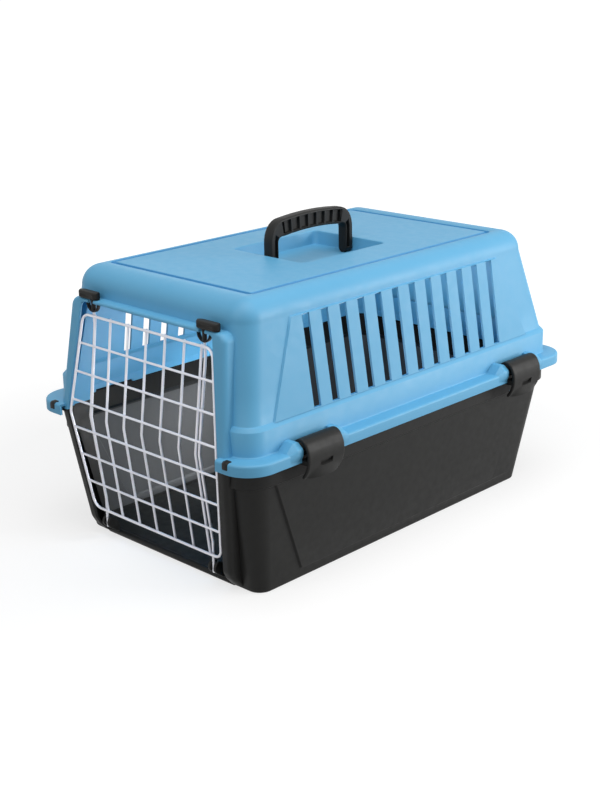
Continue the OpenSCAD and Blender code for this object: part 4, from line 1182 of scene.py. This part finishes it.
class CARRIER_OT_clips(bpy.types.Operator):
    """Draws the four side clips with their barrels and hooks"""

    bl_idname = "carrier.clips"
    bl_label = "Side clips"

    def execute(self, context):
        for node, body in (
            ("clip_front_right", "clip_fr"),
            ("clip_rear_right", "clip_rr"),
            ("clip_front_left", "clip_fl"),
            ("clip_rear_left", "clip_rl"),
        ):
            x, y, _ = node_middle(node)
            side = math.copysign(1, x)
            stacks = [clip_rings(side, y), *clip_inner_rings(side, y)]
            add_lofts(node + "_moulded", stacks, body, black_plastic(), [node], sharp=50)
        return {"FINISHED"}


class CARRIER_OT_latches(bpy.types.Operator):
    """Draws the two latch tabs with their stems and spring arms"""

    bl_idname = "carrier.latches"
    bl_label = "Latches"

    def execute(self, context):
        rod_x, rod_y = rod_place()
        low, high = node_box("latch_tab_right")
        stem_radius, stem_ends = 2.3 * MM, (low[2] + 3 * MM, high[2] - 4 * MM)
        for side, hand in ((-1, "left"), (1, "right")):
            body, black = "latch_" + hand, black_plastic()
            stem = np.array([(side * rod_x, rod_y, z) for z in stem_ends])
            stacks = [tab_rings(side), tube_rings(stem, stem_radius, (1, 0, 0), sides=20)]
            add_lofts(body + "_moulded", stacks, body, black, ["latch_tab_" + hand], sharp=50)
            rings = spring_rings(side)
            arms = add_lofts(body + "_arms", [rings], body, black, ["latch_spring_" + hand], sharp=50)
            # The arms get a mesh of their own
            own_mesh(arms)
        return {"FINISHED"}


class CARRIER_OT_door_wires(bpy.types.Operator):
    """Draws the door's frame, cross wires, upright wires and latch rods as smoothly bent wire"""

    bl_idname = "carrier.door_wires"
    bl_label = "Door wires"

    def execute(self, context):
        s = sizes()
        top, bend, foot = 237.5 * MM, 137 * MM, 34 * MM
        gap, frame_radius, rod_radius = 2.4 * MM, 1.35 * MM, 1.4 * MM
        frame_end, frame_bend = -217.5 * MM, -230.4 * MM
        upright_end, upright_bend = -215.2 * MM, -228.2 * MM
        rod_bend, rod_high, rod_low = -226.6 * MM, 227.3 * MM, foot + 12 * MM
        rod_x, rod_y = rod_place()
        levels = ((top, frame_end), (bend, frame_bend), (foot, frame_end))
        right = [(float(doorway_half(z)) - gap, y, z) for z, y in levels]
        left = [(-x, y, z) for x, y, z in right[::-1]]
        radii = [s.frame_corner, s.wire_bend, s.frame_corner] * 2
        path = bend_path(right + left, radii, closed=True)
        nodes = ["door_frame_wire"]
        wire_piece("frame_wire_coated", path, frame_radius, (0, 1, 0), "door", nodes, closed=True)
        for node in sorted(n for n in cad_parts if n.startswith("cross_wire")):
            low, high = node_box(node)
            _, y, z = node_middle(node)
            ends = np.array([(low[0], y, z), (high[0], y, z)])
            wire_piece(node + "_coated", ends, (high[2] - low[2]) / 2, (0, 1, 0), "door", [node])
        for node in sorted(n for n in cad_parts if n.startswith("upright_wire")):
            low, high = node_box(node)
            x = node_middle(node)[0]
            thin = (high[0] - low[0]) / 2
            head, heel = high[2] - thin, low[2] + thin
            corners = [(x, upright_end, head), (x, upright_bend, bend), (x, upright_end, heel)]
            path = bend_path(corners, [0, s.wire_bend, 0])
            wire_piece(node + "_coated", path, thin, (1, 0, 0), "door", [node])
        for side, hand, body in ((-1, "left", "rod_left"), (1, "right", "latch_right")):
            node = "latch_rod_" + hand
            low, high = node_box(node)
            x = side * rod_x
            corners = [
                (x, rod_y, high[2] - 0.4 * MM),
                (x, rod_y, rod_high),
                (x, rod_bend, bend),
                (x, rod_y, rod_low),
                (x, rod_y, low[2] + rod_radius),
            ]
            path = bend_path(corners, [0, s.wire_bend, s.wire_bend, s.wire_bend, 0])
            wire_piece(node + "_coated", path, rod_radius, (1, 0, 0), body, [node])
        return {"FINISHED"}


class CARRIER_OT_stage(bpy.types.Operator):
    """Sets the floor, the lamps, the world and the camera at the photograph's angle"""

    bl_idname = "carrier.stage"
    bl_label = "Stage"

    def execute(self, context):
        context.scene.view_settings.view_transform = "Standard"
        pale_floor()
        studio_world()
        lamp("key", 14.2, (900, 700), (1150, 900, 500), (0, 0, 150))
        lamp("top", 13.2, (1200, 1200), (420, -200, 1540), (0, 0, 200))
        lamp("front", 3.0, (700, 500), (100, -1100, 1000), (0, -200, 260))
        lamp("through_cover", 0.5, (160, 300), (0, 0, 142), (0, 0, 280))
        lamp("doorway", 0.07, (60, 60), (95, -60, 110), (-112, -195, 80), spread=70)
        lamp("far_end", 0.1, (60, 40), (72, 120, 262), (-128, 130, 60), spread=90)
        lamp("inside", 0.15, (60, 40), (72, 20, 262), (-131, -45, 68), spread=42)
        photo_camera()
        return {"FINISHED"}


class CARRIER_PT_panel(bpy.types.Panel):
    """Lists the carrier's pieces and settings"""

    bl_idname = "CARRIER_PT_panel"
    bl_label = "Carrier"
    bl_space_type = "VIEW_3D"
    bl_region_type = "UI"
    bl_category = "Carrier"

    def draw(self, context):
        for operator in PIECES:
            self.layout.operator(operator.bl_idname)
        for settings in (colours(), sizes()):
            for name in settings.__annotations__:
                self.layout.prop(settings, name)


PIECES = (
    CARRIER_OT_tray,
    CARRIER_OT_cover,
    CARRIER_OT_handle,
    CARRIER_OT_clips,
    CARRIER_OT_latches,
    CARRIER_OT_door_wires,
    CARRIER_OT_stage,
)
CLASSES = (CarrierColours, CarrierSizes, *PIECES, CARRIER_PT_panel)


def register():
    for item in CLASSES:
        bpy.utils.register_class(item)
    bpy.types.Scene.carrier_colours = bpy.props.PointerProperty(type=CarrierColours)
    bpy.types.Scene.carrier_sizes = bpy.props.PointerProperty(type=CarrierSizes)


def unregister():
    del bpy.types.Scene.carrier_sizes
    del bpy.types.Scene.carrier_colours
    for item in reversed(CLASSES):
        bpy.utils.unregister_class(item)


def main():
    register()
    bpy.ops.carrier.tray()
    bpy.ops.carrier.cover()
    bpy.ops.carrier.handle()
    bpy.ops.carrier.clips()
    bpy.ops.carrier.latches()
    bpy.ops.carrier.door_wires()
    bpy.ops.carrier.stage()


if __name__ == "__main__":
    main()
